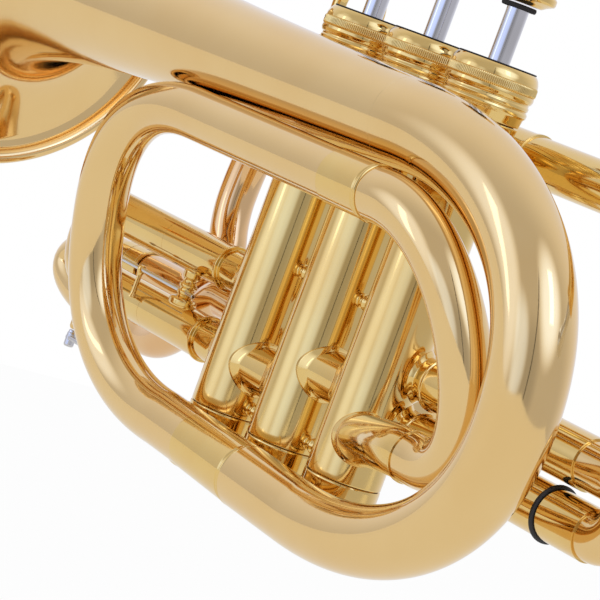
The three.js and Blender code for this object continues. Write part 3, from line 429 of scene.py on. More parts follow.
def knuckle(x, z):
    """A point lies at share * reach(angle) from the middle, where reach is the distance to the casings' round
    walls. Outside, the radius grows by flare * s^2, with s from 0 where the flare begins to 1 at the wall."""
    outer_rings, inner_rings, points = 61, 9, 96
    share = np.concatenate([np.linspace(-1, 1, outer_rings), np.linspace(1, -1, inner_rings)])[:, None]
    angle = np.arange(points)[None] * 2 * np.pi / points
    inner = np.concatenate([np.zeros(outer_rings), np.ones(inner_rings)])[:, None]
    flare = knuckle_flare * np.clip((np.abs(share) - plain_share) / (1 - plain_share), 0, 1) ** 2
    radius = knuckle_radius + flare - inner * (tube_wall + flare)
    y = knuckle_side + radius * np.cos(angle)
    wall = valve_spacing / 2 - np.sqrt(casing_radius ** 2 - y * y)
    return shell(np.stack([x + share * wall, y + 0 * wall, z + radius * np.sin(angle)], -1))


for number, z in knuckle_levels.items():
    x = (valve_x[number] + valve_x[number + 1]) / 2
    placed(f"knuckle_tube_{number}", [knuckle(x, z)], f"knuckle_{number}_{number + 1}")

# Casing braces: small turned spindles with a ball in the middle, two soldered in each gap between
# the casings.

spindle = softened([(-4.1, 0), (-4.1, 1.9), (-3.3, 1.9), (-2.9, 1.15), (-2.5, 1.1), (-2.0, 1.5), (-1.6, 2.0),
                    (-0.9, 2.2), (-0.35, 1.9), (0, 1.75), (0.35, 1.9), (0.9, 2.2), (1.6, 2.0), (2.0, 1.5),
                    (2.5, 1.1), (2.9, 1.15), (3.3, 1.9), (4.1, 1.9), (4.1, 0)], 0.25, poles=True)
for number in (1, 2):
    x = (valve_x[number] + valve_x[number + 1]) / 2
    for level, z in (("upper", -4.0), ("lower", -41.5)):
        placed(f"spindle_{level}_{number}", [turned(spindle, (x, 0, z), (1, 0, 0), 48)],
               f"casing_brace_{level}_{number}_{number + 1}")

# Third valve slide: two brass sleeves on the third casing, and a U of two legs and a bow that is
# pushed forward. A turned post between the sleeves holds the rod that stops it.

stub_below, ring_above = 0.5, 0.45
far_out = 200


def sleeve(start, heading, reach, radius, ring_at):
    """A fixed sleeve: a flared foot on the casing, a short stub, a raised ring where the sleeve begins, then
    the sleeve to its mouth. Distances run from the casing's wall; its inside is left open."""
    stub, ring = radius - stub_below, radius + ring_above
    line = [(0, radius + 0.55), (0.35, radius + 0.3), (1.3, radius - 0.42), (2.2, stub), (ring_at, stub),
            (ring_at, ring), (ring_at + 1.0, ring), (ring_at + 1.3, radius), (reach - 0.05, radius),
            (reach, radius - 0.05), (reach, radius - tube_wall), (0, radius - tube_wall - 0.3)]
    return carried([start, np.add(start, np.multiply(heading, far_out))], softened(line, 0.22),
                   side=(0, 0, 1), foot=(start[0], 0), step=straight_step)


def sleeve_pair(slide, start, heading, levels, reaches, radius, ring_at):
    """The upper and lower sleeve of a slide, from the same (x, y) on two levels."""
    for level, z, reach in zip(("upper", "lower"), levels, reaches):
        tube = sleeve((*start, z), heading, reach, radius, ring_at)
        placed(f"{slide}_sleeve_tube_{level}", [tube], f"{slide}_sleeve_{level}")


third_levels = (-11.8, -31.3)
third_mouth = -73.0
third_reach = valve_x[3] - casing_radius - third_mouth
third_radius = 5.8
sleeve_pair("third", (valve_x[3], 0), (-1, 0, 0), third_levels, (third_reach, third_reach), third_radius,
            ring_at=8.7)


def length_of(path):
    """The length of a line of points."""
    return np.linalg.norm(np.diff(path, axis=0), axis=1).sum()


bow_gap = 0.02
bow_points = 181


def slide_u(mouth, levels, out, depth, straight, legs, ferrules, mouths, radius, leg_radius, bow_radius):
    """A U-shaped slide, as its two legs with their ferrules, and the bow between them. The legs lie on two
    levels and the bow is half an ellipse, straight + depth * sin(angle) out and half * cos(angle) up.
    Distances count outwards from the sleeves' mouth (x, y), for the upper leg first: where the leg starts,
    where it widens at its sleeve's mouth and where its ferrule ends."""
    angle = np.linspace(0, np.pi, bow_points)
    half, middle = (levels[0] - levels[1]) / 2, sum(levels) / 2
    turn = np.stack([straight + depth * np.sin(angle), half * np.cos(angle)], -1)
    flat = np.concatenate([[(legs[0], half)], turn, [(legs[1], -half)]])
    total = length_of(flat)
    first, last = mouths[0] - legs[0], total - (mouths[1] - legs[1])
    first_end, last_end = ferrules[0] - legs[0], total - (ferrules[1] - legs[1])
    bore = min(leg_radius, bow_radius) - tube_wall
    one = [(0, bore), (0, leg_radius), (first, leg_radius), (first, radius), (first_end, radius),
           (first_end, bore)]
    other = [(last_end, bore), (last_end, radius), (last, radius), (last, leg_radius), (total, leg_radius),
             (total, bore)]
    bow = [(first_end + bow_gap, bore), (first_end + bow_gap, bow_radius),
           (last_end - bow_gap, bow_radius), (last_end - bow_gap, bore)]
    path = np.array([*mouth, middle]) + flat[:, :1] * out + flat[:, 1:] * (0, 0, 1)
    side = (abs(out[1]), abs(out[0]), 0)
    leg_pair = [carried(path, softened(part, 0.03), side=side, step=straight_step) for part in (one, other)]
    return leg_pair, carried(path, softened(bow, 0.1), side=side, step=bend_step)


def slide_pieces(slide, legs, bow):
    """A slide's two pieces, its yellow brass legs and its gold brass bow, on the slide's own body."""
    body, node = f"{slide}_slide_body", f"{slide}_slide"
    fitted(f"{slide}_slide_legs", legs, body, yellow_brass, "yellow_brass", node)
    fitted(f"{slide}_slide_bow", bow, body, gold_brass, "gold_brass", node)


third_legs, third_bow = slide_u((third_mouth, 0), third_levels, (-1, 0, 0), depth=8, straight=36,
                                legs=(-26, -26), ferrules=(35.4, 35.4), mouths=(0.03, 0.03),
                                radius=third_radius, leg_radius=4.9, bow_radius=5.5)
eye_lug = softened([(-8.0, 0), (-8.0, 1.2), (-6.6, 0.7), (-1.6, 0.65), (-1.0, 1.0), (0, 1.25), (0.8, 1.0),
                    (1.1, 0.5), (1.1, 0)], 0.3, poles=True)
rod_z = -21.95
slide_pieces("third", [*third_legs, turned(eye_lug, (-75.6, -6.9, rod_z), around=48)], [third_bow])

post = softened([(-5.1, 0), (-5.1, 3.2), (-4.6, 3.7), (-3.3, 3.75), (-2.8, 3.3), (-2.5, 2.4), (-2.1, 1.9),
                 (-1.7, 2.4), (-1.0, 2.5), (-0.6, 2.0), (-0.1, 2.0), (0.3, 2.4), (0.9, 2.5), (1.3, 2.0),
                 (1.9, 1.7), (2.4, 1.8), (2.9, 2.3), (4.6, 2.4), (5.1, 1.9), (5.1, 0)], 0.3, poles=True)
placed("stop_post", [turned(post, (-53.8, -5.9, -20.85), around=64)], "stop_bracket")
rod = softened([(-48.5, 0), (-48.5, 0.6), (-87.8, 0.6), (-87.9, 1.2), (-88.7, 1.3), (-88.8, 0.8),
                (-89.4, 0.7), (-89.8, 0.4), (-89.8, 0)], 0.15, poles=True)
fitted("stop_rod_turned", [turned(rod, (0, -7.0, rod_z), (1, 0, 0), 48)], "horn", nickel_silver, "silver",
       "stop_rod")

# First valve slide: two sleeves behind the first casing and a short U that the thumb draws back,
# with a black rubber ring on the lower leg to quiet it.

first_side = 6.8
first_levels = (-14.9, -28.9)
first_mouths = (84.7, 92.7)
first_radius = 6.35
bumper_room = 1.5
first_reaches = [mouth - valve_x[1] - np.sqrt(casing_radius ** 2 - first_side ** 2) for mouth in first_mouths]
sleeve_pair("first", (valve_x[1], first_side), (1, 0, 0), first_levels, first_reaches, first_radius,
            ring_at=6.5)
first_legs, first_bow = slide_u((first_mouths[1] + bumper_room, first_side), first_levels, (1, 0, 0),
                                depth=6.9, straight=14.6, legs=(-40, -32), ferrules=(5.7, 13.7),
                                mouths=(-9.3, 0.3), radius=first_radius, leg_radius=5.45, bow_radius=5.9)
slide_pieces("first", first_legs, [first_bow])
bumper = softened([(93.0, 5.75), (93.0, 6.5), (93.3, 7.05), (93.9, 7.05), (94.2, 6.5), (94.2, 5.75)], 0.25)
fitted("rubber_ring", [turned(bumper, (0, first_side, first_levels[1]), (1, 0, 0))], "first_slide_body",
       black_rubber, "rubber", "first_bumper")

# Second valve slide: two stubby sleeves out to the right of the second casing and a small U with a
# turned pull knob.

second_levels = (-8.25, -27.75)
second_mouth = 24.0
second_radius = 5.8
second_reach = second_mouth - casing_radius
sleeve_pair("second", (0, 0), (0, 1, 0), second_levels, (second_reach, second_reach), second_radius,
            ring_at=4.4)
second_legs, second_bow = slide_u((0, second_mouth), second_levels, (0, 1, 0), depth=9.75, straight=8,
                                  legs=(-9, -9), ferrules=(6, 6), mouths=(0.12, 0.12),
                                  radius=second_radius, leg_radius=4.9, bow_radius=5.5)
knob = softened([(45.0, 0), (45.0, 1.8), (48.6, 1.8), (49.2, 2.9), (50.0, 3.6), (52.0, 3.6), (52.7, 2.9),
                 (53.2, 1.6), (53.25, 0)], 0.3, poles=True)
second_middle = sum(second_levels) / 2
pull_knob = turned(knob, (0, 0, second_middle), (0, 1, 0), 64, side=(1, 0, 0))
slide_pieces("second", second_legs, [second_bow, pull_knob])

# Elbow and inner rear bow: a yellow brass tube soldered to the near side of the first casing, and a
# gold brass one that turns back behind the valves and comes forward again as the top run.


blend_count = 400
path_step = 0.4


def blend_of(points):
    """A smooth curve through space by repeated blending: each pass mixes neighbouring control points by the
    share, until one point is left for every share."""
    share = np.linspace(0, 1, blend_count)[:, None, None]
    points = np.asarray(points, float)[None] + 0 * share
    while points.shape[1] > 1:
        points = points[:, :-1] * (1 - share) + points[:, 1:] * share
    return points[:, 0]


def joined(*lines):
    """Lines laid end to end and then spread evenly, about one path step from point to point."""
    line = np.concatenate([np.asarray(part, float) for part in lines])
    span = distances(line)
    even = np.linspace(0, span[-1], int(span[-1] / path_step) + 2)
    return np.stack([np.interp(even, span, line[:, k]) for k in range(3)], -1)


lip_radius = 0.04


def tube_profile(length, radius):
    """The closed outline of a plain tube's wall, with rounded lips."""
    bore = radius - tube_wall
    return softened([(0, radius), (length, radius), (length, bore), (0, bore)], lip_radius)


elbow_y, elbow_z, elbow_end = -16.8, -28.8, 68.28
elbow_path = joined(blend_of([(valve_x[1], -1.4, -34.4), (60, elbow_y, elbow_z), (65.3, elbow_y, elbow_z)]),
                    [(elbow_end, elbow_y, elbow_z)])
elbow_inside_casing = 9.04
elbow_length = length_of(elbow_path) - elbow_inside_casing
elbow_line = softened([(0, 6.75), (0.6, 6.7), (1.2, 6.2), (2.0, 6.1), (elbow_length - 0.75, 6.1),
                       (elbow_length - 0.6, 6.42), (elbow_length - 0.06, 6.42), (elbow_length, 6.36),
                       (elbow_length, 5.5), (0, 5.5)], 0.2)
placed("elbow_tube", [carried(elbow_path, elbow_line, foot=(valve_x[1], 0), step=bend_step)], "elbow")

coil_radius = 6.5
inner_foot = 6.05
inner_lead = 3
elbow_seam, seam = 0.02, 0.03
top_run = np.array([0, -37.45, 24.365])
top_joint_x = (33.6, 49.6)
inner_path = joined([(elbow_end + elbow_seam, elbow_y, elbow_z)],
                    blend_of([(71.3, elbow_y, elbow_z), (99.8, elbow_y, elbow_z), top_run + (88.5, 0, 0),
                              top_run + (52.6, 0, 0)]), [top_run + (top_joint_x[1] + seam, 0, 0)])
inner_length = length_of(inner_path)
inner_line = tube_profile(inner_length, inner_foot)


def inner_swell(along, angle):
    """Extra radius that grows evenly from the elbow's end to the top run, with a level lead at each end."""
    share = (along - inner_lead) / (inner_length - 2 * inner_lead)
    return (coil_radius - inner_foot) * np.clip(share, 0, 1)


inner_tube = carried(inner_path, inner_line, relief=inner_swell, step=bend_step)
fitted("inner_bow", [inner_tube], "horn", gold_brass, "gold_brass", "inner_rear_bow")

# Front bow: the large U of gold brass in front of the valves that takes the top run down to the
# bottom run, a little wider at its lower end.

turn_x, bow_turn_x = -29, 40.7
turn_points = 1200
bottom_start = np.array([-24.1, -19.6, -50.65])
bottom_drop = 2.85
bottom_slope = bottom_drop / (bow_turn_x - bottom_start[0])
bottom_joint_x = (-8, 16.3)


def bottom_run(x):
    """The middle of the bottom run, which falls evenly towards the rear."""
    return bottom_start + (x - bottom_start[0], 0, -bottom_slope * (x - bottom_start[0]))


def half_turn(start, end, reach, shape):
    """Half a turn that bulges along X. With an angle from 0 to half a turn, sign(cos)|cos|^(2 / shape) moves
    the point from the start's side to the end's, sin^(2 / shape) gives the way out, and sin^2(angle / 2)
    shares any difference in X between the two."""
    angle = np.linspace(0, np.pi, turn_points)[:, None]
    across = np.sign(np.cos(angle)) * np.abs(np.cos(angle)) ** (2 / shape)
    bulge = np.abs(np.sin(angle)) ** (2 / shape)
    line = (start + end) / 2 + (start - end) / 2 * across
    line[:, :1] = start[0] + (end[0] - start[0]) * np.sin(angle / 2) ** 2 + reach * bulge
    return line


front_seam = 0.04
front_turn = half_turn(top_run + (turn_x, 0, 0), bottom_start, reach=-43, shape=2.36)
front_path = joined([top_run + (top_joint_x[0] - front_seam, 0, 0)], front_turn,
                    [bottom_run(bottom_joint_x[0] - front_seam)])
front_line = tube_profile(length_of(front_path), coil_radius)
front_lead, front_growth = 62.5, 0.85


def front_swell(along, angle):
    """Extra radius that grows evenly with the turn's angle, after the straight lead."""
    return np.interp(along, front_lead + distances(front_turn), np.linspace(0, front_growth, turn_points))


front_tube = carried(front_path, front_line, 112, relief=front_swell, step=bend_step)
fitted("front_bow_tube", [front_tube], "horn", gold_brass, "gold_brass", "front_bow")

# Bell bow: the widest gold brass tube, bent back, up and forward from the bottom run into the bell,
# growing all the way.

bell_y, bell_z = -27.85, 41.4
bow_turn = half_turn(bottom_run(bow_turn_x), np.array([bow_turn_x, bell_y, bell_z]), reach=63.7, shape=2.19)
bow_path = joined([bottom_run(bottom_joint_x[1] + seam)], bow_turn, [(37.46, bell_y, bell_z)])
bow_foot = 7.85
bow_outline = tube_profile(length_of(bow_path), bow_foot)
turn_length = length_of(bow_turn)
bow_lead, run_extra = 24.4, 0.2
bow_rise, start_slope, end_slope = 2.643, 3.2, 4.1
bell_foot_slope = 0.0215


def bow_swell(along, angle):
    """Extra radius over the foot's: level on the straight lead, then a cubic that rises in all by bow_rise,
    whose slope goes from one given slope to the other, and from there on the slope of the bell's foot. With
    s the share of the turn passed, the cubic is run_extra + start_slope s + a s^2 + b s^3."""
    share = np.clip((along - bow_lead) / turn_length, 0, 1)
    a = 3 * bow_rise - 2 * start_slope - end_slope
    b = start_slope + end_slope - 2 * bow_rise
    past = np.maximum(along - bow_lead - turn_length, 0)
    return run_extra + start_slope * share + a * share ** 2 + b * share ** 3 + bell_foot_slope * past


bow_tube = carried(bow_path, bow_outline, 128, relief=bow_swell, step=bend_step)
fitted("bell_bow_tube", [bow_tube], "horn", gold_brass, "gold_brass", "bell_bow")

# Ferrules of the coil: drawn yellow brass sleeves over the two joints, each with a fine raised ring
# at its rear end.


def ferrule(start, end, front, rear):
    """A sleeve that widens a little from its front radius to its rear one, with a groove before the ring."""
    length = np.linalg.norm(np.subtract(end, start))
    line = softened([(0, front), (length - 1.5, rear - 0.14), (length - 1.2, rear - 0.36),
                     (length - 0.9, rear - 0.36), (length - 0.7, rear), (length - 0.25, rear),
                     (length, rear - 0.3), (length, rear - 1.05), (0, front - 0.78)], 0.12)
    return carried([start, end], line, 112)


top_joint = [top_run + (x, 0, 0) for x in top_joint_x]
bottom_joint = [bottom_run(x) for x in bottom_joint_x]
placed("top_joint", [ferrule(*top_joint, front=6.68, rear=6.95)], "top_ferrule")
placed("bottom_joint", [ferrule(*bottom_joint, front=7.53, rear=8.07)], "bottom_ferrule")

# Bell: hammered from sheet over a mandrel, with a wire rolled into the rim. Its flare follows a
# power of the distance from the rim.

rim_x, rim_radius, bead_radius, sheet = -159.5, 57.75, 1.9, 0.7
flare_lead, flare_power = 3.0, 0.4
bell_foot = 37.4 - rim_x
bell_points = 192


def bell_shell():
    """The outer radius at a distance from the rim is rim * ((distance + lead) / lead)^-power, on rings that
    lie closer together towards the rim. The last two rings are close, so that the foot is shaded like the
    tube before it. The inner line lies one sheet's thickness from the outer one along its normal,
    (slope, -1) / length. Behind the bead both lines start with three points of the rim's turned edge."""
    stretched = np.exp(np.linspace(np.log(1.4), np.log(bell_foot / flare_lead + 1), 150))
    distance = np.append((flare_lead * (stretched - 1))[:-1], [bell_foot - 0.03, bell_foot])
    radius = rim_radius * ((distance + flare_lead) / flare_lead) ** -flare_power
    slope = -flare_power * radius / (distance + flare_lead)
    normal = np.stack([slope, -np.ones_like(slope)], -1) / np.hypot(1, slope)[:, None]
    outer = np.concatenate([[(1.5, 55.0), (1.2, 52.6), (1.14, 51.6)], np.stack([distance, radius], -1)])
    inner = np.concatenate([[(0.8, 55.0), (0.5, 52.6), (0.44, 51.6)], outer[3:] + sheet * normal])
    inner[-1, 0] = outer[-1, 0]
    profile = np.concatenate([outer, inner[::-1]])
    return turned(profile, (rim_x, bell_y, bell_z), (1, 0, 0), bell_points)


bead_angle = np.linspace(0, 2 * np.pi, 24, endpoint=False)
bead_line = np.stack([bead_radius + bead_radius * np.cos(bead_angle),
                      rim_radius - bead_radius + bead_radius * np.sin(bead_angle)], -1)
bead = turned(bead_line, (rim_x, bell_y, bell_z), (1, 0, 0), bell_points)
fitted("bell_flare", [bell_shell(), bead], "horn", gold_brass, "gold_brass", "bell")

# Mouthpipe, receiver and mouthpiece: a straight drawn pipe on the right side, a sleeve over its
# joint, a turned receiver and a plated mouthpiece.

pipe_y, pipe_z = 18.5, 42.9
pipe_line = softened([(-57.7, 5.4), (13.0, 5.4), (13.0, 6.45), (13.9, 6.45), (14.2, 6.2), (29.6, 6.2),
                      (29.9, 6.45), (31.0, 6.45), (31.0, 6.0), (88.0, 6.0), (88.0, 4.8), (-57.7, 4.8)], 0.18)
placed("mouthpipe", [turned(pipe_line, (0, pipe_y, pipe_z), (1, 0, 0))], "leadpipe")
receiver_line = softened([(88.1, 6.6), (91, 6.6), (98.5, 7.0), (115.8, 7.0), (116.3, 7.6), (117.3, 7.6),
                          (117.3, 8.2), (119.2, 8.2), (119.6, 7.7), (120.0, 8.2), (122.3, 8.2),
                          (122.3, 5.6), (88.1, 5.6)], 0.3)
placed("receiver_tube", [turned(receiver_line, (0, pipe_y, pipe_z), (1, 0, 0))], "receiver")
mouthpiece_line = softened([(96.3, 3.8), (96.3, 4.6), (122.3, 5.2), (124.0, 4.9), (147.3, 4.6), (153, 5.6),
                            (158.3, 7.6), (163, 8.8), (169.3, 9.5), (173, 11.2), (176.45, 12.65),
                            (178.1, 13.6), (179.75, 12.65), (180.3, 10.6), (179.0, 8.4), (172.6, 6.7),
                            (168.2, 1.9), (161.6, 1.9)], 1.2)
fitted("mouthpiece_cup", [turned(mouthpiece_line, (0, pipe_y, pipe_z), (1, 0, 0))], "mouthpiece_body",
       nickel_silver, "silver", "mouthpiece")

# Little-finger hook: a yellow brass bar bent a little past half a turn, on a small plate that is
# soldered on top of the mouthpipe.


def slab(width, height, power):
    """The outline of a bar with rounded edges: 1 / (|cos / width|^p + |sin / height|^p)^(1/p), half sizes."""
    return lambda angle: (np.abs(np.cos(angle) / width) ** power
                          + np.abs(np.sin(angle) / height) ** power) ** (-1 / power)


def bar(path, lost_share, edge, around, section, step=None):
    """A solid bar along a path, with a section's outline. Over the edge at each end it loses a share of its
    width."""
    length, end = length_of(path), 1 - lost_share
    line = [(0, 0), (0, end), (edge, 1), (length - edge, 1), (length, end), (length, 0)]
    return carried(path, line, around, section=section, step=step)


def arc(middle_x, middle_z, radius, angle):
    """Points at middle + radius * (cos(angle), sin(angle)) in the mouthpipe's own upright plane."""
    return np.stack([middle_x + radius * np.cos(angle), pipe_y + 0 * angle,
                     middle_z + radius * np.sin(angle)], -1)


hook_x, hook_lift, hook_radius = -59, 19.4, 9
hook_foot, plate_lift = 5.5, 6.4
hook_arc = arc(hook_x, pipe_z + hook_lift, hook_radius, np.linspace(0, 1.15 * np.pi, 120))
hook_path = joined([(hook_x + hook_radius, pipe_y, pipe_z + hook_foot)], hook_arc)
hook_bar = bar(hook_path, lost_share=0.5, edge=1.2, around=32, section=slab(1.9, 1.5, 3), step=1)
hook_plate = bar([(-56, pipe_y, pipe_z + plate_lift), (-44, pipe_y, pipe_z + plate_lift)],
                 lost_share=0.3, edge=0.8, around=48, section=slab(2.3, 1.3, 4))
placed("finger_hook", [hook_bar, hook_plate], "pinky_hook")

# Mouthpipe bow, tuning sleeves and inlet tube: the pipe drops to the tuning slide, and below it
# another tube comes back into the third casing.

tuning_top, tuning_low = -26.0, -42.6
joint_x = -108.2
drop_radius, tuning_radius = 5.25, 5.5
drop_front, drop_level = -81.8, 4.0
lean_radius, lean = 26, np.radians(27)
round_share = 0.55


def pipe_drop():
    """A wide blended curve down to its most forward point, an arc that leans back from there, and a closer
    arc that turns forward again into the upper tuning sleeve."""
    start_x = -61
    across, down = start_x - drop_front, pipe_z - drop_level
    wide = blend_of([(start_x, pipe_y, pipe_z), (start_x - round_share * across, pipe_y, pipe_z),
                     (drop_front, pipe_y, drop_level + round_share * down), (drop_front, pipe_y, drop_level)])
    angle = np.linspace(0, lean, 40)[1:]
    leaning = arc(drop_front + lean_radius, drop_level, lean_radius, np.pi + angle)
    x, z = leaning[-1, 0], leaning[-1, 2]
    radius = (z - tuning_top) / (1 + np.sin(lean))
    angle = np.linspace(lean, -np.pi / 2, 120)[1:]
    turning = arc(x - radius * np.cos(lean), tuning_top + radius, radius, angle)
    return joined([(-58, pipe_y, pipe_z)], wide, leaning, turning, [(joint_x, pipe_y, tuning_top)])


drop_path = pipe_drop()
drop_line = tube_profile(length_of(drop_path), drop_radius)
drop = carried(drop_path, drop_line, step=bend_step)
fitted("mouthpipe_bow", [drop], "horn", rose_brass, "yellow_brass", "leadpipe_bow")

tuning_start, tuning_mouth = -108.5, -117.0
sleeve_length, tuning_bore = tuning_start - tuning_mouth, tuning_radius - tube_wall
tuning_ring = tuning_radius + ring_above
tuning_sleeve_line = softened([(0, tuning_ring), (1.3, tuning_ring), (1.5, tuning_radius),
                               (sleeve_length, tuning_radius), (sleeve_length, tuning_bore),
                               (0, tuning_bore)], 0.18)
for level, z in (("upper", tuning_top), ("lower", tuning_low)):
    ends = [(tuning_start, pipe_y, z), (tuning_mouth, pipe_y, z)]
    placed(f"tuning_sleeve_tube_{level}", [carried(ends, tuning_sleeve_line)], f"tuning_sleeve_{level}")

inlet_z = -21.55
inlet_bend = blend_of([(-99, pipe_y, tuning_low), (-83, 17, tuning_low), (-69, 11.4, inlet_z),
                       (-60, 11.4, inlet_z)])
inlet_path = joined([(joint_x, pipe_y, tuning_low)], inlet_bend,
                    [(-45.9, 10.04, inlet_z), (valve_x[3], 8, inlet_z)])[::-1]
inlet_inside_casing = 5.3
inlet_length = length_of(inlet_path) - inlet_inside_casing
inlet_line = softened([(0, 6.3), (0.5, 6.1), (1.5, 5.3), (2.6, 5.2), (inlet_length, 5.2), (inlet_length, 4.6),
                       (0, 4.6)], 0.2)
inlet = carried(inlet_path, inlet_line, foot=(valve_x[3], 0), step=bend_step)
fitted("inlet_pipe", [inlet], "horn", rose_brass, "yellow_brass", "inlet_tube")

# Tuning slide and water key: a U on the right side, with a nipple and two lugs on its lower leg
# that carry a sprung nickel-silver key.

tuning_legs, tuning_bow = slide_u((tuning_mouth, pipe_y), (tuning_top, tuning_low), (-1, 0, 0), depth=27.6,
                                  straight=5.2, legs=(-7.5, -7.5), ferrules=(4.5, 4.5), mouths=(0.12, 0.12),
                                  radius=tuning_radius, leg_radius=4.6, bow_radius=5.2)
nipple_x = -136
nipple = softened([(-51.5, 0), (-51.5, 1.2), (-50.7, 1.6), (-48.2, 1.6), (-46.2, 1.6), (-46.2, 0)], 0.25,
                  poles=True)
lug_z, lug_half_gap = -50.7, 2.45
lugs = [bar([(-125, y, lug_z), (-122, y, lug_z)], lost_share=0.15, edge=0.4, around=40,
            section=slab(0.65, 4.4, 8)) for y in (pipe_y + lug_half_gap, pipe_y - lug_half_gap)]
slide_pieces("tuning", [*tuning_legs, *lugs],
             [tuning_bow, turned(nipple, (nipple_x, pipe_y, 0), around=48)])

pad = softened([(-56.8, 0), (-56.8, 1.2), (-56.4, 1.5), (-52.9, 1.5), (-52.5, 1.3), (-51.8, 1.2),
                (-51.8, 0)], 0.25, poles=True)
key_z = -54.2
key_bar = bar([(-137.3, pipe_y, key_z), (-110.0, pipe_y, key_z)], lost_share=0.2, edge=0.6, around=40,
              section=slab(1.4, 0.7, 5), step=2)
fitted("water_key_lever", [turned(pad, (nipple_x, pipe_y, 0), around=48), key_bar], "water_key_body",
       nickel_silver, "silver", "water_key")

# Braces: turned brass rods that tie the bell to the first and third casings, and the casings to the
# mouthpipe.


def cross_brace(low, high, flange):
    """A rod's outline between two flanges, thinnest beside a raised ring in the middle."""
    middle = (low + high) / 2
    line = [(low, 0), (low, flange), (low + 0.8, flange), (low + 1.3, 1.9), (middle - 1.4, 1.5),
            (middle - 0.8, 2.1), (middle + 0.8, 2.1), (middle + 1.4, 1.5), (high - 1.3, 1.9),
            (high - 0.8, flange), (high, flange), (high, 0)]
    return softened(line, 0.25, poles=True)


for number, bell_end, pipe_end in ((1, -17.0, 12.1), (3, -13.9, 13.0)):
    for kind, low, high, z, flange in (("bell", bell_end, -9.5, bell_z, 3.0),
                                       ("pipe", 9.5, pipe_end, pipe_z, 2.4)):
        brace = turned(cross_brace(low, high, flange), (valve_x[number], 0, z), (0, 1, 0), 48, side=(1, 0, 0))
        placed(f"{kind}_brace_rod_{number}", [brace], f"{kind}_brace_{number}")

# Floor and light: a white table well below the instrument, and a studio of white panels with a narrow
# dark gap where the camera stands. The camera sees plain white, and only what the metal mirrors has the
# panels' own levels and their slightly blue light. Two soft lamps add small glints.

floor_half, floor_z = 1.6, -0.32

floor_material = bpy.data.materials.new("floor_white")
floor_material.use_nodes = True
recipe = Recipe(floor_material.node_tree)


def seen_by(recipe):
    """The light path's outputs: seen by the camera, mirrored in metal, seen through something."""
    seen = recipe.node("ShaderNodeLightPath")
    outputs = seen.socket.node.outputs
    return seen, Channel(recipe, outputs["Is Glossy Ray"]), Channel(recipe, outputs["Is Transmission Ray"])


seen, mirrored, through = seen_by(recipe)
white = recipe.node("ShaderNodeEmission", {}, {"Color": (1, 1, 1, 1), "Strength": 1.0})
matt = recipe.node("ShaderNodeBsdfPrincipled", {}, {"Base Color": (0.9, 0.9, 0.9, 1), "Roughness": 0.9})
seen_share, mirrored_share = 0.93, 0.28
share = (seen + through) * seen_share + mirrored * mirrored_share
cover = recipe.node("ShaderNodeMixShader", {}, {0: share, 1: matt, 2: white})
recipe.node("ShaderNodeOutputMaterial", {}, {"Surface": cover})

floor_mesh = bpy.data.meshes.new("floor")
floor_corners = [(x * floor_half, y * floor_half, floor_z) for x, y in ((-1, -1), (1, -1), (1, 1), (-1, 1))]
floor_mesh.from_pydata(floor_corners, [], [(0, 1, 2, 3)])
floor = bpy.data.objects.new("floor", floor_mesh)
floor_mesh.materials.append(floor_material)
bpy.context.scene.collection.objects.link(floor)

world = bpy.data.worlds.new("studio")
world.use_nodes = True
bpy.context.scene.world = world
recipe = Recipe(world.node_tree)
seen, mirrored, through = seen_by(recipe)
shown = recipe.node("ShaderNodeMath", {"operation": "MAXIMUM"}, {0: seen, 1: through})
direction = recipe.node("ShaderNodeTexCoord", output=0)


def facing(toward):
    """The cosine of the angle between a ray and a direction, which may be longer than 1."""
    aim = Vector(toward).normalized()
    return recipe.node("ShaderNodeVectorMath", {"operation": "DOT_PRODUCT"}, {0: direction, 1: aim}, output=1)


def soft_step(value, zero_at, one_at):
    """0 at one value, 1 at the other, and a smooth S between."""
    values = {"Value": value, "From Min": zero_at, "From Max": one_at}
    return recipe.node("ShaderNodeMapRange", {"interpolation_type": "SMOOTHSTEP"}, values)


to_camera = -ahead
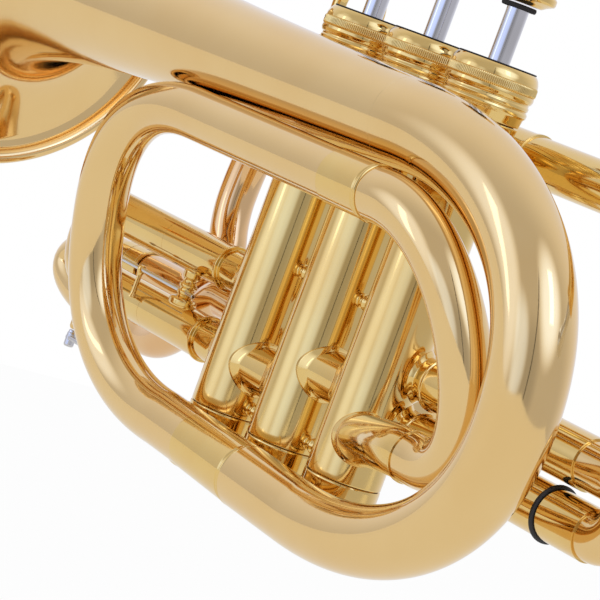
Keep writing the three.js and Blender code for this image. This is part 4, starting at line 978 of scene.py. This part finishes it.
# Each panel is a direction and the cosines of its outer and inner edge.
softbox = soft_step(facing(0.44 * level_right + 0.56 * level_up + 0.70 * to_camera), 0.83, 0.985)
left_panel = soft_step(facing(-0.95 * level_right + 0.14 * level_up + 0.28 * to_camera), 0.86, 0.985)
low_panel = soft_step(facing(-0.60 * level_right - 0.06 * level_up + 0.80 * to_camera), 0.92, 0.988)
camera_side = soft_step(facing(-0.12 * level_right - 0.2 * level_up + 0.97 * to_camera), 0.82, 0.985)
white_wall = soft_step(facing(ahead + 0.6 * level_up), -0.05, 0.8)
in_front = soft_step(facing(to_camera), 0.7, 0.85)

gap_place, gap_edge, gap_core, gap_depth = -0.04, 0.02, 0.011, 0.92
off_gap = recipe.node("ShaderNodeMath", {"operation": "ABSOLUTE"}, {0: facing(level_right) - gap_place})
gap = soft_step(off_gap, gap_edge, gap_core)

room, box_light, left_light, low_light, camera_shade, wall_light = 0.60, 0.92, 0.6, 0.5, 0.16, 0.26
studio = room + softbox * box_light + left_panel * left_light + low_panel * low_light
studio = (studio - camera_side * camera_shade + white_wall * wall_light) * (1 - gap * in_front * gap_depth)
level = studio * (1 - shown) + shown
left_blue, low_blue = 0.6, 0.8
blue_share = softbox + left_panel * left_blue + low_panel * low_blue
tint = recipe.mix(blue_share, (0.98, 1.0, 1.12, 1), (0.80, 1.0, 1.6, 1))
tone = recipe.mix(mirrored, (1, 1, 1, 1), tint)
backdrop = recipe.node("ShaderNodeBackground", {}, {"Color": tone, "Strength": level})
recipe.node("ShaderNodeOutputWorld", {}, {"Surface": backdrop})

lamp_distance = 1.2
lamp_colour = (0.8, 0.95, 1.3)


def soft_lamp(name, toward, width, height, power):
    """A rectangular lamp that faces the instrument from the given direction."""
    light = bpy.data.lights.new(name, "AREA")
    light.shape = "RECTANGLE"
    light.size, light.size_y, light.energy = width, height, power
    light.color = lamp_colour
    lamp = bpy.data.objects.new(name, light)
    aim = Vector(toward).normalized()
    turn = aim.to_track_quat("Z", "Y").to_matrix().to_4x4()
    lamp.matrix_world = Matrix.Translation(aim * lamp_distance) @ turn
    bpy.context.scene.collection.objects.link(lamp)


soft_lamp("right_lamp", 0.46 * level_right + 0.58 * level_up + 0.67 * to_camera, width=0.22, height=0.5,
          power=0.35)
soft_lamp("left_lamp", -0.95 * level_right + 0.16 * level_up + 0.28 * to_camera, width=0.16, height=0.6,
          power=0.25)

view = bpy.context.scene.view_settings
view.view_transform = "Standard"
